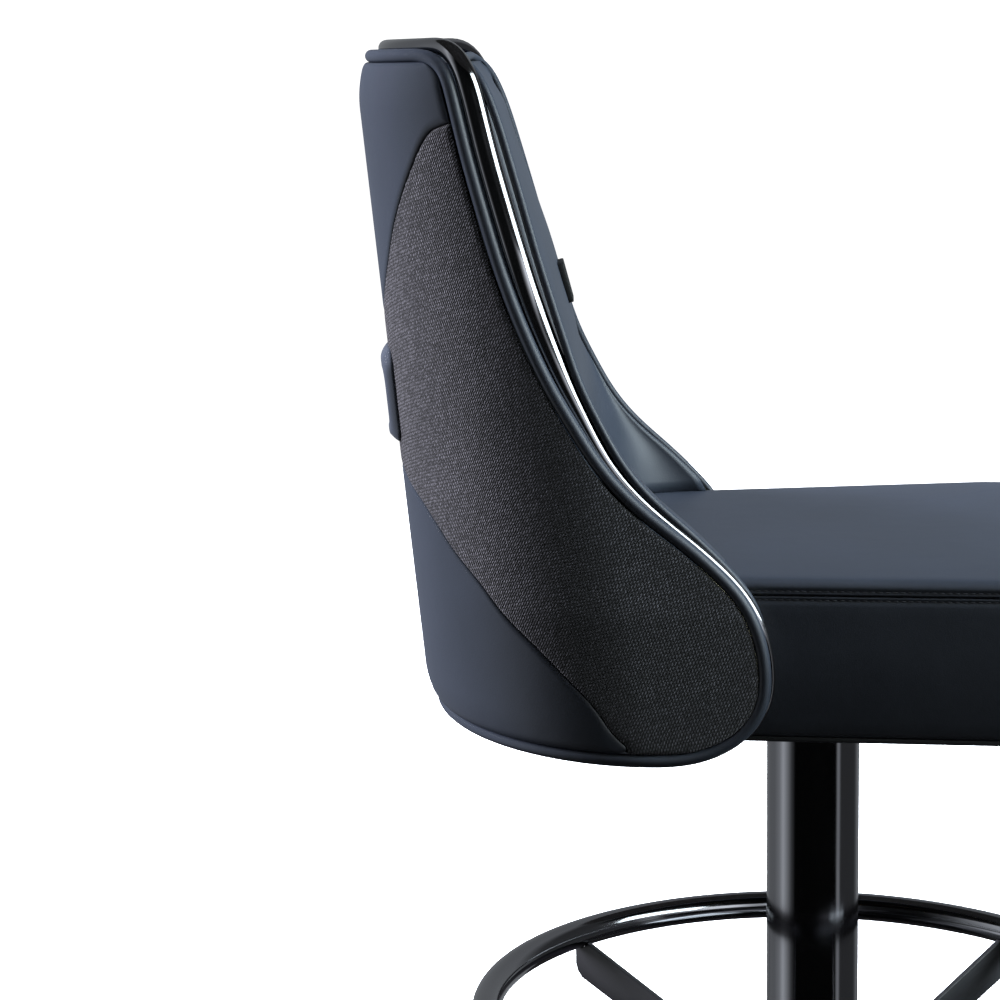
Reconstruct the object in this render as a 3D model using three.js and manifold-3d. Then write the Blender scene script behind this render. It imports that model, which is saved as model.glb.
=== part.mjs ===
// Swivel gaming stool: weighted round base, column with a foot ring on four arms, ball-race swivel,
// boxed seat cushion and a wrap-around upholstered back with a bright edge trim.
// Millimetres. The origin is the centre of the floor face on the column axis, +Z is up,
// the sitter faces -Y and +X is on the sitter's left.

import * as THREE from 'three';
import { mergeVertices } from 'three/addons/utils/BufferGeometryUtils.js';
import Module from 'manifold-3d';

const wasm = await Module();
wasm.setup();

const { lerp } = THREE.MathUtils;
const clamp01 = (value) => THREE.MathUtils.clamp(value, 0, 1);

// Driving sizes: heights from the floor, the back's rise, and how far its outer face stands behind
// the column at the foot
const footRingHeight = 235.5;
const seatSeamHeight = 630;
const backRise = 517;
const rearFootDepth = 314;

// Clearances shared by all pieces
const restGap = 0.3;
const holeClearance = 0.5;
const cutOverrun = 6;

// Base: the cover's rim sets how far the pieces under it reach
const baseCoverRadius = 284;
const baseCoverWall = 1.5;
const baseCoverEdgeHeight = 16;
const baseCoverEdgeRound = 6;
const baseCoverCrownHeight = 44;
const baseCoverCrownRadius = 66;
const baseCoverNeckHeight = 62;
const baseCoverFloorGap = 1.5;
const basePlateRimGap = 8.5;
const basePlateRadius = baseCoverRadius - baseCoverWall - basePlateRimGap;
const basePlateThickness = 6;
const floorPadSetback = 6;
const floorPadRadius = basePlateRadius - floorPadSetback;
const floorPadThickness = 3;
const baseWeightSetback = 69;
const baseWeightRadius = basePlateRadius - baseWeightSetback;
const baseWeightBore = 96;
const baseWeightThickness = 14;

// Column and its floor flange
const columnRadius = 38;
const columnWall = 3;
const columnFlangeRadius = 84;
const columnFlangeThickness = 10;
const flangeBoltCircleRadius = 62;
const flangeBoltShankRadius = 5;
const flangeBoltHeadRadius = 8.5;
const flangeBoltHeadHeight = 6.4;
const flangeBoltCount = 4;

// Foot ring, its arms and their collar
const footRingRadius = 273;
const footRingTubeRadius = 12.5;
const armThickness = 5;
const armDepth = 30;
const armDrop = 84;
const armSaddleDepth = 8;
const armEndOverlap = 4;
const armCornerRadius = 8;
const armCount = 4;
const armCollarWall = 8;
const armCollarMargin = 5;
const setScrewRadius = 4;
const setScrewCount = 2;

// Swivel bearing, spindle and seat plate
const housingFlangeThickness = 8;
const housingLength = 78;
const housingBoreRadius = 19;
const bushLength = 22;
const spindleRadius = 15;
const runningClearance = 0.25;
const raceInnerRadius = 21;
const raceOuterRadius = 34;
const raceThickness = 2.5;
const ballRadius = 3;
const ballCount = 10;
const ballCircleRadius = 27.5;
const ballGap = 0.15;
const cageThickness = 2;
const cageWidth = 8;
const spindleTail = 9;
const retainerWidth = 5;
const retainerThickness = 1.5;
const retainerGrooveDepth = 1.4;
const retainerMouth = 8;
const mountPlateWidth = 180;
const mountPlateThickness = 4;
const mountPlateCorner = 14;
const mountBoltSpacing = 150;
const mountBoltShankRadius = 4;
const mountBoltHeadRadius = 7.5;
const mountBoltHeadHeight = 5.3;

// Seat
const seatHalfWidth = 214;
const seatFrontDepth = 235;
const seatRearGap = 100;
const seatRearDepth = rearFootDepth - seatRearGap;
const seatFlareShare = 0.121;
const seatFrontCorner = 64;
const seatRearCorner = 48;
const seatFrontBow = 10;
const seatBoxHeight = 113;
const seatBandWall = 4;
const seatBandTuck = 4;
const seatPanEdge = 5;
const seatPanThickness = 3;
const seatPanOpening = 192;
const seatBoardThickness = 12;
const seatBoardInset = 9;
const seatTopRoll = 13;
const seatCrown = 4;

// Back: plan and rear profile of the outer upholstery, as a curved shell
const backFootDrop = 119;
const wingHalfWidth = 236;
const topHalfWidth = 188;
const wingDepth = 258;
const wingFrontDepth = rearFootDepth - wingDepth;
const wingReach = 300;
const rearLean = 50;
const rearTopDepth = rearFootDepth + rearLean;
const footTuck = 8;
const footTuckRise = 30;
const topTuck = 10;
const topTuckRise = 43;
const footCurveDepth = 179;
const planCentreFoot = rearFootDepth - footCurveDepth;
const topCurveDepth = 139;
const planCentreTop = rearTopDepth - topCurveDepth;
const flareStartShare = 0.21;
const footCornerReach = 84;
const footCornerRise = 61;
const topCornerRadius = 22;

// Back: layers
const skinThickness = 3;
const shellThickness = 6;
const weltRadius = 5;
const weltSink = 4;
const weltJointGap = 0.8;
const seamGap = 0.8;
const seamInset = 1.8;
const paddingGap = 2;
const shellEdgeInset = 3;
const edgeGap = 0.6;
const edgeClear = 9.5;
const arcEndGap = 4;
const trimHalfWidth = 10.75;
const trimThickness = 13;
const trimSink = 1;
const rollRadius = 6;
const rollReach = 35.5;
const rollInset = 20;
const rollDrop = 2;
const topLift = 5;
const wallDepth = 28.5;
const wingPad = 46;
const cushionSeatGap = 1.2;
const lumbarThickness = 130;
const lumbarDepth = rearFootDepth - lumbarThickness;
const bottomCoverThickness = 2.5;
const bottomCoverRecess = 3;

// Pull handle on the rear and the bare plate on the front of the back
const handleHalfWidth = 60;
const handleHalfHeight = 40;
const handleCentreRise = 248;
const handleProud = 7;
const handleBevel = 6;
const handleMouthHalfWidth = 46;
const handleMouthHalfHeight = 22;
const handlePocketDepth = 22;
const handleWall = 2.4;
const handleCorner = 14;
const handlePocketTaper = 4;
const plateHeight = 33;
const plateWidth = 46;
const plateThickness = 5.5;
const plateStandOff = 0.6;
const plateCentreRise = 335;
const plateCorner = 3;

// Back brackets
const bracketWidth = 36;
const bracketThickness = 6;
const bracketLegSetback = 200;
const bracketLegStart = rearFootDepth - bracketLegSetback;
const bracketSetback = 15;
const bracketReach = rearFootDepth - bracketSetback;
const bracketSplay = THREE.MathUtils.degToRad(15);
const bracketLeanShare = 0.1;
const bracketBend = 12;
const bracketUprightRise = 190;
const bracketClearance = 0.6;
const bracketPocketDepth = 18;
const bracketBoltStart = 18.5;
const bracketBoltSpacing = 55.5;
const bracketBoltCount = 2;
const bracketBoltRadius = 4;
const bracketBoltHeadRadius = 6.5;
const bracketBoltHeadHeight = 5;

// Facets
const latheSteps = 32;
const ringSteps = 48;
const tubeSides = 8;
const boreSteps = 20;
const holeSteps = 8;
const hexSides = 6;
const ballSides = 6;
const ballRows = 4;
const cornerSteps = 4;
const screwHoleSteps = 16;
const retainerSteps = 20;
const seatFrontSteps = 4;
const seatCornerSteps = 5;
const planSteps = 36;
const rimSteps = 15;
const rimCornerSteps = 5;
const topPanelRows = 6;
const fabricRows = 11;
const bottomPanelRows = 5;

// Heights derived from the driving ones
const floorPadTop = floorPadThickness;
const basePlateBottom = floorPadTop + restGap;
const basePlateTop = basePlateBottom + basePlateThickness;
const seatBottom = seatSeamHeight - seatBoxHeight;
const seatBandBottom = seatBottom + seatPanEdge;
const seatBoardBottom = seatBottom + seatPanThickness + bracketThickness + 2 * restGap;
const seatBoardTop = seatBoardBottom + seatBoardThickness;
const mountPlateTop = seatBoardBottom - restGap;
const mountPlateBottom = mountPlateTop - mountPlateThickness;
const upperRaceTop = mountPlateBottom - restGap;
const upperRaceBottom = upperRaceTop - raceThickness;
const ballCentre = upperRaceBottom - ballGap - ballRadius;
const lowerRaceTop = ballCentre - ballRadius - ballGap;
const lowerRaceBottom = lowerRaceTop - raceThickness;
const housingTop = lowerRaceBottom - restGap;
const columnTop = housingTop - housingFlangeThickness - restGap;
const housingBottom = housingTop - housingLength;
const spindleBottom = housingBottom - spindleTail;
const seatTopEdge = seatSeamHeight + seatTopRoll;
const backFoot = seatSeamHeight - backFootDrop;
const backTop = backFoot + backRise;
const weltInset = weltRadius + seamInset;
const shellFace = skinThickness + paddingGap;
const shellBack = shellFace + shellThickness;
const foamFace = shellBack - paddingGap;

// Finishes
const smokedChrome = { color: 0x2b2b2e, roughness: 0.14, metalness: 1.0 };
const blackSteel = { color: 0x323234, roughness: 0.45, metalness: 0.7 };
const zincSteel = { color: 0xa8a9a6, roughness: 0.4, metalness: 0.9 };
const bronze = { color: 0x9a7440, roughness: 0.4, metalness: 0.9 };
const castIron = { color: 0x3a3a3c, roughness: 0.7, metalness: 0.6 };
const blackRubber = { color: 0x151516, roughness: 0.85, metalness: 0.0 };
const slateVinyl = { color: 0x3a3f49, roughness: 0.5, metalness: 0.0 };
const blackPlastic = { color: 0x131315, roughness: 0.5, metalness: 0.0 };
const charcoalWeave = { color: 0x3b3b3f, roughness: 0.95, metalness: 0.0 };
const plywood = { color: 0xb08a5a, roughness: 0.75, metalness: 0.0 };
const foam = { color: 0xd8cfae, roughness: 0.95, metalness: 0.0 };

const pedestal = new THREE.Group();
const swivelSeat = new THREE.Group();

function addPiece(parent, name, geometry, finish) {
  const mesh = new THREE.Mesh(geometry, new THREE.MeshStandardMaterial(finish));
  mesh.name = name;
  parent.add(mesh);
  return mesh;
}

// Merged vertices, no empty triangles and faces turned outwards
function closedGeometry(geometry) {
  const bare = new THREE.BufferGeometry();
  bare.setAttribute('position', geometry.getAttribute('position').clone());
  if (geometry.index) bare.setIndex(geometry.index.clone());
  const merged = mergeVertices(bare);
  const index = merged.index.array;
  const kept = [];
  for (let i = 0; i < index.length; i += 3) {
    const [a, b, c] = [index[i], index[i + 1], index[i + 2]];
    if (a !== b && b !== c && a !== c) kept.push(a, b, c);
  }
  const position = merged.getAttribute('position');
  const corners = [new THREE.Vector3(), new THREE.Vector3(), new THREE.Vector3()];
  let volume = 0;
  for (let i = 0; i < kept.length; i += 3) {
    corners.forEach((corner, k) => corner.fromBufferAttribute(position, kept[i + k]));
    volume += corners[0].dot(corners[1].clone().cross(corners[2]));
  }
  if (volume < 0) kept.reverse();
  merged.setIndex(kept);
  return merged;
}

function toSolid(geometry) {
  const closed = closedGeometry(geometry);
  const vertProperties = Float32Array.from(closed.getAttribute('position').array);
  const triVerts = Uint32Array.from(closed.index.array);
  return new wasm.Manifold(new wasm.Mesh({ numProp: 3, vertProperties, triVerts }));
}

function fromSolid(solid) {
  const mesh = solid.getMesh();
  const geometry = new THREE.BufferGeometry();
  geometry.setAttribute('position', new THREE.BufferAttribute(mesh.vertProperties, 3));
  geometry.setIndex(new THREE.BufferAttribute(mesh.triVerts, 1));
  return geometry;
}

function cutFrom(geometry, ...tools) {
  return fromSolid(tools.reduce((solid, tool) => solid.subtract(toSolid(tool)), toSolid(geometry)));
}

function joined(geometry, ...others) {
  return fromSolid(others.reduce((solid, other) => solid.add(toSolid(other)), toSolid(geometry)));
}

// Revolved piece from [radius, height] points
function turned(points, steps = latheSteps) {
  const geometry = new THREE.LatheGeometry(points.map(([r, z]) => new THREE.Vector2(r, z)), steps);
  return closedGeometry(geometry.rotateX(Math.PI / 2));
}

function ringBand(inner, outer, bottom, top, steps = latheSteps) {
  return turned([[inner, bottom], [outer, bottom], [outer, top], [inner, top], [inner, bottom]], steps);
}

function disc(radius, bottom, top, steps = latheSteps) {
  return turned([[0, bottom], [radius, bottom], [radius, top], [0, top]], steps);
}

function pin(radius, bottom, top, x = 0, y = 0, steps = boreSteps) {
  return disc(radius, bottom, top, steps).translate(x, y, 0);
}

// Flat plate from an outline of [x, y] points with optional holes
function plate(outline, bottom, thickness, holes = []) {
  const shape = new THREE.Shape(outline.map(([x, y]) => new THREE.Vector2(x, y)));
  for (const hole of holes) {
    shape.holes.push(new THREE.Path(hole.map(([x, y]) => new THREE.Vector2(x, y))));
  }
  const geometry = new THREE.ExtrudeGeometry(shape, { depth: thickness, bevelEnabled: false });
  return closedGeometry(geometry.translate(0, 0, bottom));
}

function circleOutline(radius, x = 0, y = 0, steps = boreSteps) {
  return Array.from({ length: steps }, (_, i) => {
    const turn = (2 * Math.PI * i) / steps;
    return [x + radius * Math.cos(turn), y + radius * Math.sin(turn)];
  });
}

function roundedRectangle(halfWidth, halfHeight, corner, steps = cornerSteps) {
  const points = [];
  const sides = [[1, 1], [-1, 1], [-1, -1], [1, -1]];
  sides.forEach(([sx, sy], quarter) => {
    for (let i = 0; i <= steps; i++) {
      const turn = (Math.PI / 2) * (quarter + i / steps);
      points.push([
        sx * (halfWidth - corner) + corner * Math.cos(turn),
        sy * (halfHeight - corner) + corner * Math.sin(turn),
      ]);
    }
  });
  return points;
}

// Hexagon-head bolt standing on its head, shank upwards
function hexBolt(headRadius, headHeight, shankRadius, length) {
  const head = disc(headRadius, 0, headHeight, hexSides);
  const shank = disc(shankRadius, headHeight / 2, headHeight + length, holeSteps);
  return joined(head, shank);
}

function capTriangles(ring, offset, flip) {
  const contour = ring.map((point) => new THREE.Vector2(point.x, point.y));
  const faces = THREE.ShapeUtils.triangulateShape(contour, []);
  return faces.flatMap(([a, b, c]) => (flip ? [a, c, b] : [a, b, c]).map((corner) => offset + corner));
}

// Skin through rings of equal point counts, with flat ends where the rings lie in level planes
// and with fans to the ring's centre elsewhere
function loft(rings, { closedPath = false, levelEnds = false } = {}) {
  const count = rings[0].length;
  const positions = rings.flatMap((ring) => ring.flatMap((point) => [point.x, point.y, point.z]));
  const index = [];
  const spans = closedPath ? rings.length : rings.length - 1;
  for (let i = 0; i < spans; i++) {
    const here = i * count;
    const next = ((i + 1) % rings.length) * count;
    for (let j = 0; j < count; j++) {
      const k = (j + 1) % count;
      index.push(here + j, here + k, next + j, here + k, next + k, next + j);
    }
  }
  if (!closedPath) {
    const last = (rings.length - 1) * count;
    if (levelEnds) {
      index.push(...capTriangles(rings[0], 0, true));
      index.push(...capTriangles(rings[rings.length - 1], last, false));
    } else {
      const ends = [[rings[0], 0, true], [rings[rings.length - 1], last, false]];
      for (const [ring, offset, flip] of ends) {
        const centre = ring.reduce((sum, point) => sum.add(point), new THREE.Vector3()).divideScalar(count);
        const hub = positions.length / 3;
        positions.push(centre.x, centre.y, centre.z);
        for (let j = 0; j < count; j++) {
          const k = (j + 1) % count;
          index.push(...(flip ? [hub, offset + k, offset + j] : [hub, offset + j, offset + k]));
        }
      }
    }
  }
  const geometry = new THREE.BufferGeometry();
  geometry.setAttribute('position', new THREE.Float32BufferAttribute(positions, 3));
  geometry.setIndex(index);
  return closedGeometry(geometry);
}

// Value at a place in a table of [place, value, value...] rows
function tableAt(table, place, column = 1) {
  if (place <= table[0][0]) return table[0][column];
  for (let i = 1; i < table.length; i++) {
    if (place <= table[i][0]) {
      const part = (place - table[i - 1][0]) / (table[i][0] - table[i - 1][0]);
      return lerp(table[i - 1][column], table[i][column], part);
    }
  }
  return table[table.length - 1][column];
}

// Base

addPiece(pedestal, 'floor_pad', disc(floorPadRadius, 0, floorPadTop), blackRubber);

const flangeBoltPlaces = Array.from({ length: flangeBoltCount }, (_, i) => {
  const turn = (2 * Math.PI * (i + 0.5)) / flangeBoltCount;
  return [flangeBoltCircleRadius * Math.cos(turn), flangeBoltCircleRadius * Math.sin(turn)];
});
const boltHoleRadius = flangeBoltShankRadius + holeClearance;
addPiece(pedestal, 'base_plate', plate(
  circleOutline(basePlateRadius, 0, 0, latheSteps),
  basePlateBottom,
  basePlateThickness,
  flangeBoltPlaces.map(([x, y]) => circleOutline(boltHoleRadius, x, y, holeSteps)),
), blackSteel);

const baseWeightBottom = basePlateTop + restGap;
addPiece(pedestal, 'base_weight', ringBand(
  baseWeightBore, baseWeightRadius, baseWeightBottom, baseWeightBottom + baseWeightThickness,
), castIron);

const columnOuterClear = columnRadius + restGap;
const flangeBottom = basePlateTop + restGap;
const flangeTop = flangeBottom + columnFlangeThickness;
addPiece(pedestal, 'column_flange', plate(
  circleOutline(columnFlangeRadius, 0, 0, latheSteps),
  flangeBottom,
  columnFlangeThickness,
  [
    circleOutline(columnOuterClear, 0, 0, latheSteps),
    ...flangeBoltPlaces.map(([x, y]) => circleOutline(boltHoleRadius, x, y, holeSteps)),
  ],
), blackSteel);

// The bolts come down through the flange into the plate
const flangeBoltLength = columnFlangeThickness + basePlateThickness - restGap;
flangeBoltPlaces.forEach(([x, y], i) => {
  const bolt = hexBolt(flangeBoltHeadRadius, flangeBoltHeadHeight, flangeBoltShankRadius, flangeBoltLength);
  bolt.rotateX(Math.PI).translate(x, y, flangeTop + restGap + flangeBoltHeadHeight);
  addPiece(pedestal, `flange_bolt_${i + 1}`, closedGeometry(bolt), zincSteel);
});

// Spun cover: rolled foot, shallow dome and a neck round the column
const coverNeckRadius = columnOuterClear + baseCoverWall;
// [share of the way in from rim to crown, share of the rise from edge to crown]
const coverDomeShares = [[0, 0], [0.5, 0.62], [1, 1]];
const coverDome = coverDomeShares.map(([inward, rise]) => [
  lerp(baseCoverRadius - baseCoverEdgeRound, baseCoverCrownRadius, inward),
  lerp(baseCoverEdgeHeight, baseCoverCrownHeight, rise),
]);
addPiece(pedestal, 'base_cover', turned([
  [baseCoverRadius - baseCoverWall, baseCoverFloorGap],
  [baseCoverRadius, baseCoverFloorGap],
  [baseCoverRadius, baseCoverEdgeHeight - baseCoverEdgeRound],
  ...coverDome,
  [coverNeckRadius, (baseCoverCrownHeight + baseCoverNeckHeight) / 2],
  [coverNeckRadius, baseCoverNeckHeight],
  [columnOuterClear, baseCoverNeckHeight],
  [columnOuterClear, (baseCoverCrownHeight + baseCoverNeckHeight) / 2 - baseCoverWall],
  ...coverDome.map(([r, z]) => [r, z - baseCoverWall]).reverse(),
  [baseCoverRadius - baseCoverWall, baseCoverEdgeHeight - baseCoverEdgeRound],
  [baseCoverRadius - baseCoverWall, baseCoverFloorGap],
]), smokedChrome);

// Column

addPiece(pedestal, 'column_tube', ringBand(
  columnRadius - columnWall,
  columnRadius,
  basePlateTop + restGap,
  columnTop,
), smokedChrome);

// Foot ring, arms and collar

const footRing = new THREE.TorusGeometry(footRingRadius, footRingTubeRadius, tubeSides, ringSteps);
addPiece(pedestal, 'foot_ring', closedGeometry(footRing.translate(0, 0, footRingHeight)), smokedChrome);

const collarOuter = columnOuterClear + armCollarWall;
const armSlope = (armDrop - armSaddleDepth) / (footRingRadius - columnRadius);
const armTopAt = (r) => footRingHeight - armDrop + (r - columnRadius) * armSlope;
const armSide = armDepth * Math.hypot(1, armSlope);
const saddleRadius = footRingTubeRadius + restGap;

// Arm side view as [radius, height] points: sloped top, saddle under the ring, rounded outer corner
// given as [share of the corner inwards, share upwards]
const armCornerShares = [[0, 1.2], [0.3, 0.35]];
const armSaddleSteps = 6;
function armOutline() {
  const inner = collarOuter + restGap;
  const outer = footRingRadius + armEndOverlap;
  const points = [[inner, armTopAt(inner)]];
  const start = Math.PI + Math.asin(armSaddleDepth / saddleRadius) - Math.atan(armSlope) / 2;
  const end = 2 * Math.PI - Math.acos(armEndOverlap / saddleRadius);
  for (let i = 0; i <= armSaddleSteps; i++) {
    const turn = lerp(start, end, i / armSaddleSteps);
    points.push([
      footRingRadius + saddleRadius * Math.cos(turn),
      footRingHeight + saddleRadius * Math.sin(turn),
    ]);
  }
  const lowCorner = armTopAt(outer) - armSide;
  armCornerShares.forEach(([inward, upward]) => {
    points.push([outer - inward * armCornerRadius, lowCorner + upward * armCornerRadius]);
  });
  points.push([outer - armCornerRadius, armTopAt(outer - armCornerRadius) - armSide]);
  points.push([inner, armTopAt(inner) - armSide]);
  return points;
}

for (let i = 0; i < armCount; i++) {
  const turn = (2 * Math.PI * (i + 0.5)) / armCount;
  const arm = plate(armOutline(), -armThickness / 2, armThickness).rotateX(Math.PI / 2).rotateZ(turn);
  addPiece(pedestal, `ring_arm_${i + 1}`, closedGeometry(arm), blackSteel);
}

const collarTop = armTopAt(collarOuter) + armCollarMargin;
const collarBottom = armTopAt(collarOuter) - armSide - armCollarMargin;
const collarMiddle = (collarTop + collarBottom) / 2;
const screwHole = (turn, radius) => disc(radius, 0, collarOuter + cutOverrun, screwHoleSteps)
  .rotateX(-Math.PI / 2).rotateZ(turn).translate(0, 0, collarMiddle);
const screwTurns = Array.from({ length: setScrewCount }, (_, i) => (2 * Math.PI * i) / setScrewCount);
addPiece(pedestal, 'arm_collar', cutFrom(
  ringBand(columnOuterClear, collarOuter, collarBottom, collarTop),
  ...screwTurns.map((turn) => screwHole(turn, setScrewRadius + restGap)),
), blackSteel);
screwTurns.forEach((turn, i) => {
  const screw = disc(setScrewRadius, columnOuterClear + restGap, collarOuter, holeSteps);
  screw.rotateX(-Math.PI / 2).rotateZ(turn).translate(0, 0, collarMiddle);
  addPiece(pedestal, `collar_set_screw_${i + 1}`, closedGeometry(screw), zincSteel);
});

// Swivel bearing

const housingOuter = columnRadius - columnWall - restGap;
addPiece(pedestal, 'bearing_housing', turned([
  [housingBoreRadius, housingBottom],
  [housingOuter, housingBottom],
  [housingOuter, columnTop + restGap],
  [columnRadius, columnTop + restGap],
  [columnRadius, housingTop],
  [housingBoreRadius, housingTop],
  [housingBoreRadius, housingBottom],
], boreSteps), blackSteel);

const bushBore = spindleRadius + runningClearance;
const bushOuter = housingBoreRadius - restGap;
addPiece(pedestal, 'lower_bush', ringBand(
  bushBore, bushOuter, housingBottom, housingBottom + bushLength, boreSteps,
), bronze);
addPiece(pedestal, 'upper_bush', ringBand(
  bushBore, bushOuter, housingTop - bushLength, housingTop, boreSteps,
), bronze);
addPiece(pedestal, 'lower_race', ringBand(
  raceInnerRadius, raceOuterRadius, lowerRaceBottom, lowerRaceTop, boreSteps,
), zincSteel);

const ballPlaces = Array.from({ length: ballCount }, (_, i) => {
  const turn = (2 * Math.PI * i) / ballCount;
  return [ballCircleRadius * Math.cos(turn), ballCircleRadius * Math.sin(turn)];
});
// The balls sit in their cage, which is pressed round them, so both are one piece
addPiece(pedestal, 'ball_cage', joined(
  ringBand(
    ballCircleRadius - cageWidth / 2,
    ballCircleRadius + cageWidth / 2,
    ballCentre - cageThickness / 2,
    ballCentre + cageThickness / 2,
    boreSteps,
  ),
  ...ballPlaces.map(([x, y]) => {
    const ball = new THREE.SphereGeometry(ballRadius, ballSides, ballRows);
    return ball.rotateX(Math.PI / 2).translate(x, y, ballCentre);
  }),
), bronze);

addPiece(swivelSeat, 'upper_race', ringBand(
  raceInnerRadius, raceOuterRadius, upperRaceBottom, upperRaceTop, boreSteps,
), zincSteel);

const grooveRadius = spindleRadius - retainerGrooveDepth;
const retainerTop = housingBottom - 2 * restGap;
const retainerBottom = retainerTop - retainerThickness;
addPiece(swivelSeat, 'spindle', turned([
  [0, spindleBottom],
  [spindleRadius - retainerGrooveDepth, spindleBottom],
  [spindleRadius, spindleBottom + retainerGrooveDepth],
  [spindleRadius, retainerBottom - restGap],
  [grooveRadius, retainerBottom - restGap],
  [grooveRadius, retainerTop + restGap],
  [spindleRadius, retainerTop + restGap],
  [spindleRadius, mountPlateBottom - restGap],
  [0, mountPlateBottom - restGap],
], boreSteps), zincSteel);

// Snap ring with an open mouth
function retainerOutline() {
  const inner = grooveRadius + restGap;
  const outer = inner + retainerWidth;
  const half = Math.asin(retainerMouth / 2 / inner);
  const arc = (radius, from, to) => Array.from({ length: retainerSteps + 1 }, (_, i) => {
    const turn = lerp(from, to, i / retainerSteps);
    return [radius * Math.cos(turn), radius * Math.sin(turn)];
  });
  return [...arc(outer, half, 2 * Math.PI - half), ...arc(inner, 2 * Math.PI - half, half)];
}
const retainer = plate(retainerOutline(), retainerBottom, retainerThickness).rotateZ(Math.PI / 2);
addPiece(swivelSeat, 'retaining_ring', retainer, zincSteel);

// Seat plate and bolts

const mountBoltPlaces = [[1, 1], [-1, 1], [-1, -1], [1, -1]]
  .map(([sx, sy]) => [sx * mountBoltSpacing / 2, sy * mountBoltSpacing / 2]);
const mountHoleRadius = mountBoltShankRadius + holeClearance;
const mountHoles = mountBoltPlaces.map(([x, y]) => circleOutline(mountHoleRadius, x, y, holeSteps));
addPiece(swivelSeat, 'seat_mount_plate', plate(
  roundedRectangle(mountPlateWidth / 2, mountPlateWidth / 2, mountPlateCorner),
  mountPlateBottom,
  mountPlateThickness,
  mountHoles,
), blackSteel);
const mountBoltLength = mountPlateThickness + seatBoardThickness - restGap;
mountBoltPlaces.forEach(([x, y], i) => {
  const bolt = hexBolt(mountBoltHeadRadius, mountBoltHeadHeight, mountBoltShankRadius, mountBoltLength);
  bolt.translate(x, y, mountPlateBottom - restGap - mountBoltHeadHeight);
  addPiece(swivelSeat, `seat_mount_bolt_${i + 1}`, closedGeometry(bolt), zincSteel);
});

// Seat outline: straight flared sides, bowed front, rounded corners; grows or shrinks by an inset

function seatOutline(inset) {
  const front = -seatFrontDepth + inset;
  const rear = seatRearDepth - inset;
  const halfAt = (y) => seatHalfWidth - seatFlareShare * y - inset;
  const lean = Math.atan(seatFlareShare);
  const frontCorner = Math.max(seatFrontCorner - inset, restGap);
  const rearCorner = Math.max(seatRearCorner - inset, restGap);
  const half = [];
  const bowAt = (share) => seatFrontBow * (1 - share * share);
  const frontCentreX = halfAt(front + frontCorner) - frontCorner;
  for (let i = 0; i < seatFrontSteps; i++) {
    const share = i / seatFrontSteps;
    half.push([share * frontCentreX, front - bowAt(share)]);
  }
  for (let i = 0; i <= seatCornerSteps; i++) {
    const turn = lerp(-Math.PI / 2, lean, i / seatCornerSteps);
    half.push([
      frontCentreX + frontCorner * Math.cos(turn),
      front + frontCorner + frontCorner * Math.sin(turn),
    ]);
  }
  const rearCentreX = halfAt(rear - rearCorner) - rearCorner;
  half.push([halfAt((front + rear) / 2), (front + rear) / 2]);
  for (let i = 0; i <= seatCornerSteps; i++) {
    const turn = lerp(lean, Math.PI / 2, i / seatCornerSteps);
    half.push([
      rearCentreX + rearCorner * Math.cos(turn),
      rear - rearCorner + rearCorner * Math.sin(turn),
    ]);
  }
  half.push([rearCentreX / 2, rear]);
  half.push([0, rear]);
  const mirrored = half.slice(1, -1).reverse().map(([x, y]) => [-x, y]);
  return [...half, ...mirrored];
}

const atHeight = (outline, z) => outline.map(([x, y]) => new THREE.Vector3(x, y, z));

// Pan: a shallow black tray whose edge shows below the upholstery
const panOpening = roundedRectangle(seatPanOpening / 2, seatPanOpening / 2, mountPlateCorner);
const panTray = loft([
  atHeight(seatOutline(seatBandTuck + seatBandWall), seatBottom),
  atHeight(seatOutline(seatBandTuck), seatBottom + seatPanThickness / 2),
  atHeight(seatOutline(seatBandTuck), seatBandBottom - restGap),
  atHeight(seatOutline(seatBandTuck + seatPanThickness), seatBandBottom - restGap),
  atHeight(seatOutline(seatBandTuck + seatPanThickness), seatBottom + seatPanThickness),
], { levelEnds: true });

// Back brackets: bars between pan and board that run out under the rear of the seat and rise
// along the inside of the shell
const bracketTurns = [-1, 1].map((side) => ({ side, turn: Math.PI / 2 - side * bracketSplay }));
const bracketBottom = seatBottom + seatPanThickness + restGap;
function bracketBar(margin, reach = margin) {
  const far = bracketReach + reach;
  const near = bracketReach - bracketThickness - margin;
  const low = bracketBottom - margin;
  const high = bracketBottom + bracketThickness + margin;
  const top = bracketBottom + bracketUprightRise + margin;
  const lean = bracketUprightRise * bracketLeanShare;
  const outline = [
    [bracketLegStart - margin, low],
    [far - bracketBend, low],
    [far, low + bracketBend],
    [far + lean, top],
    [near + lean, top],
    [near, high + bracketBend / 2],
    [near - bracketBend / 2, high],
    [bracketLegStart - margin, high],
  ];
  return plate(outline, -bracketWidth / 2 - margin, bracketWidth + 2 * margin).rotateX(Math.PI / 2);
}
const boltPlacesOn = (turn) => Array.from({ length: bracketBoltCount }, (_, i) => {
  const along = bracketLegStart + bracketBoltStart + i * bracketBoltSpacing;
  return [along * Math.cos(turn), along * Math.sin(turn)];
});
const bracketHoleRadius = bracketBoltRadius + holeClearance;
const bracketPins = bracketTurns.flatMap(({ turn }) => boltPlacesOn(turn).map(([x, y]) => (
  pin(bracketHoleRadius, seatBottom - cutOverrun, seatBoardTop + cutOverrun, x, y, holeSteps)
)));
const bracketSlots = bracketTurns.map(({ turn }) => bracketBar(bracketClearance, cutOverrun).rotateZ(turn));

addPiece(swivelSeat, 'seat_pan', cutFrom(
  panTray,
  plate(panOpening, seatBottom - cutOverrun, seatPanThickness + 2 * cutOverrun),
  ...bracketPins,
  ...bracketSlots,
), blackPlastic);

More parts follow.
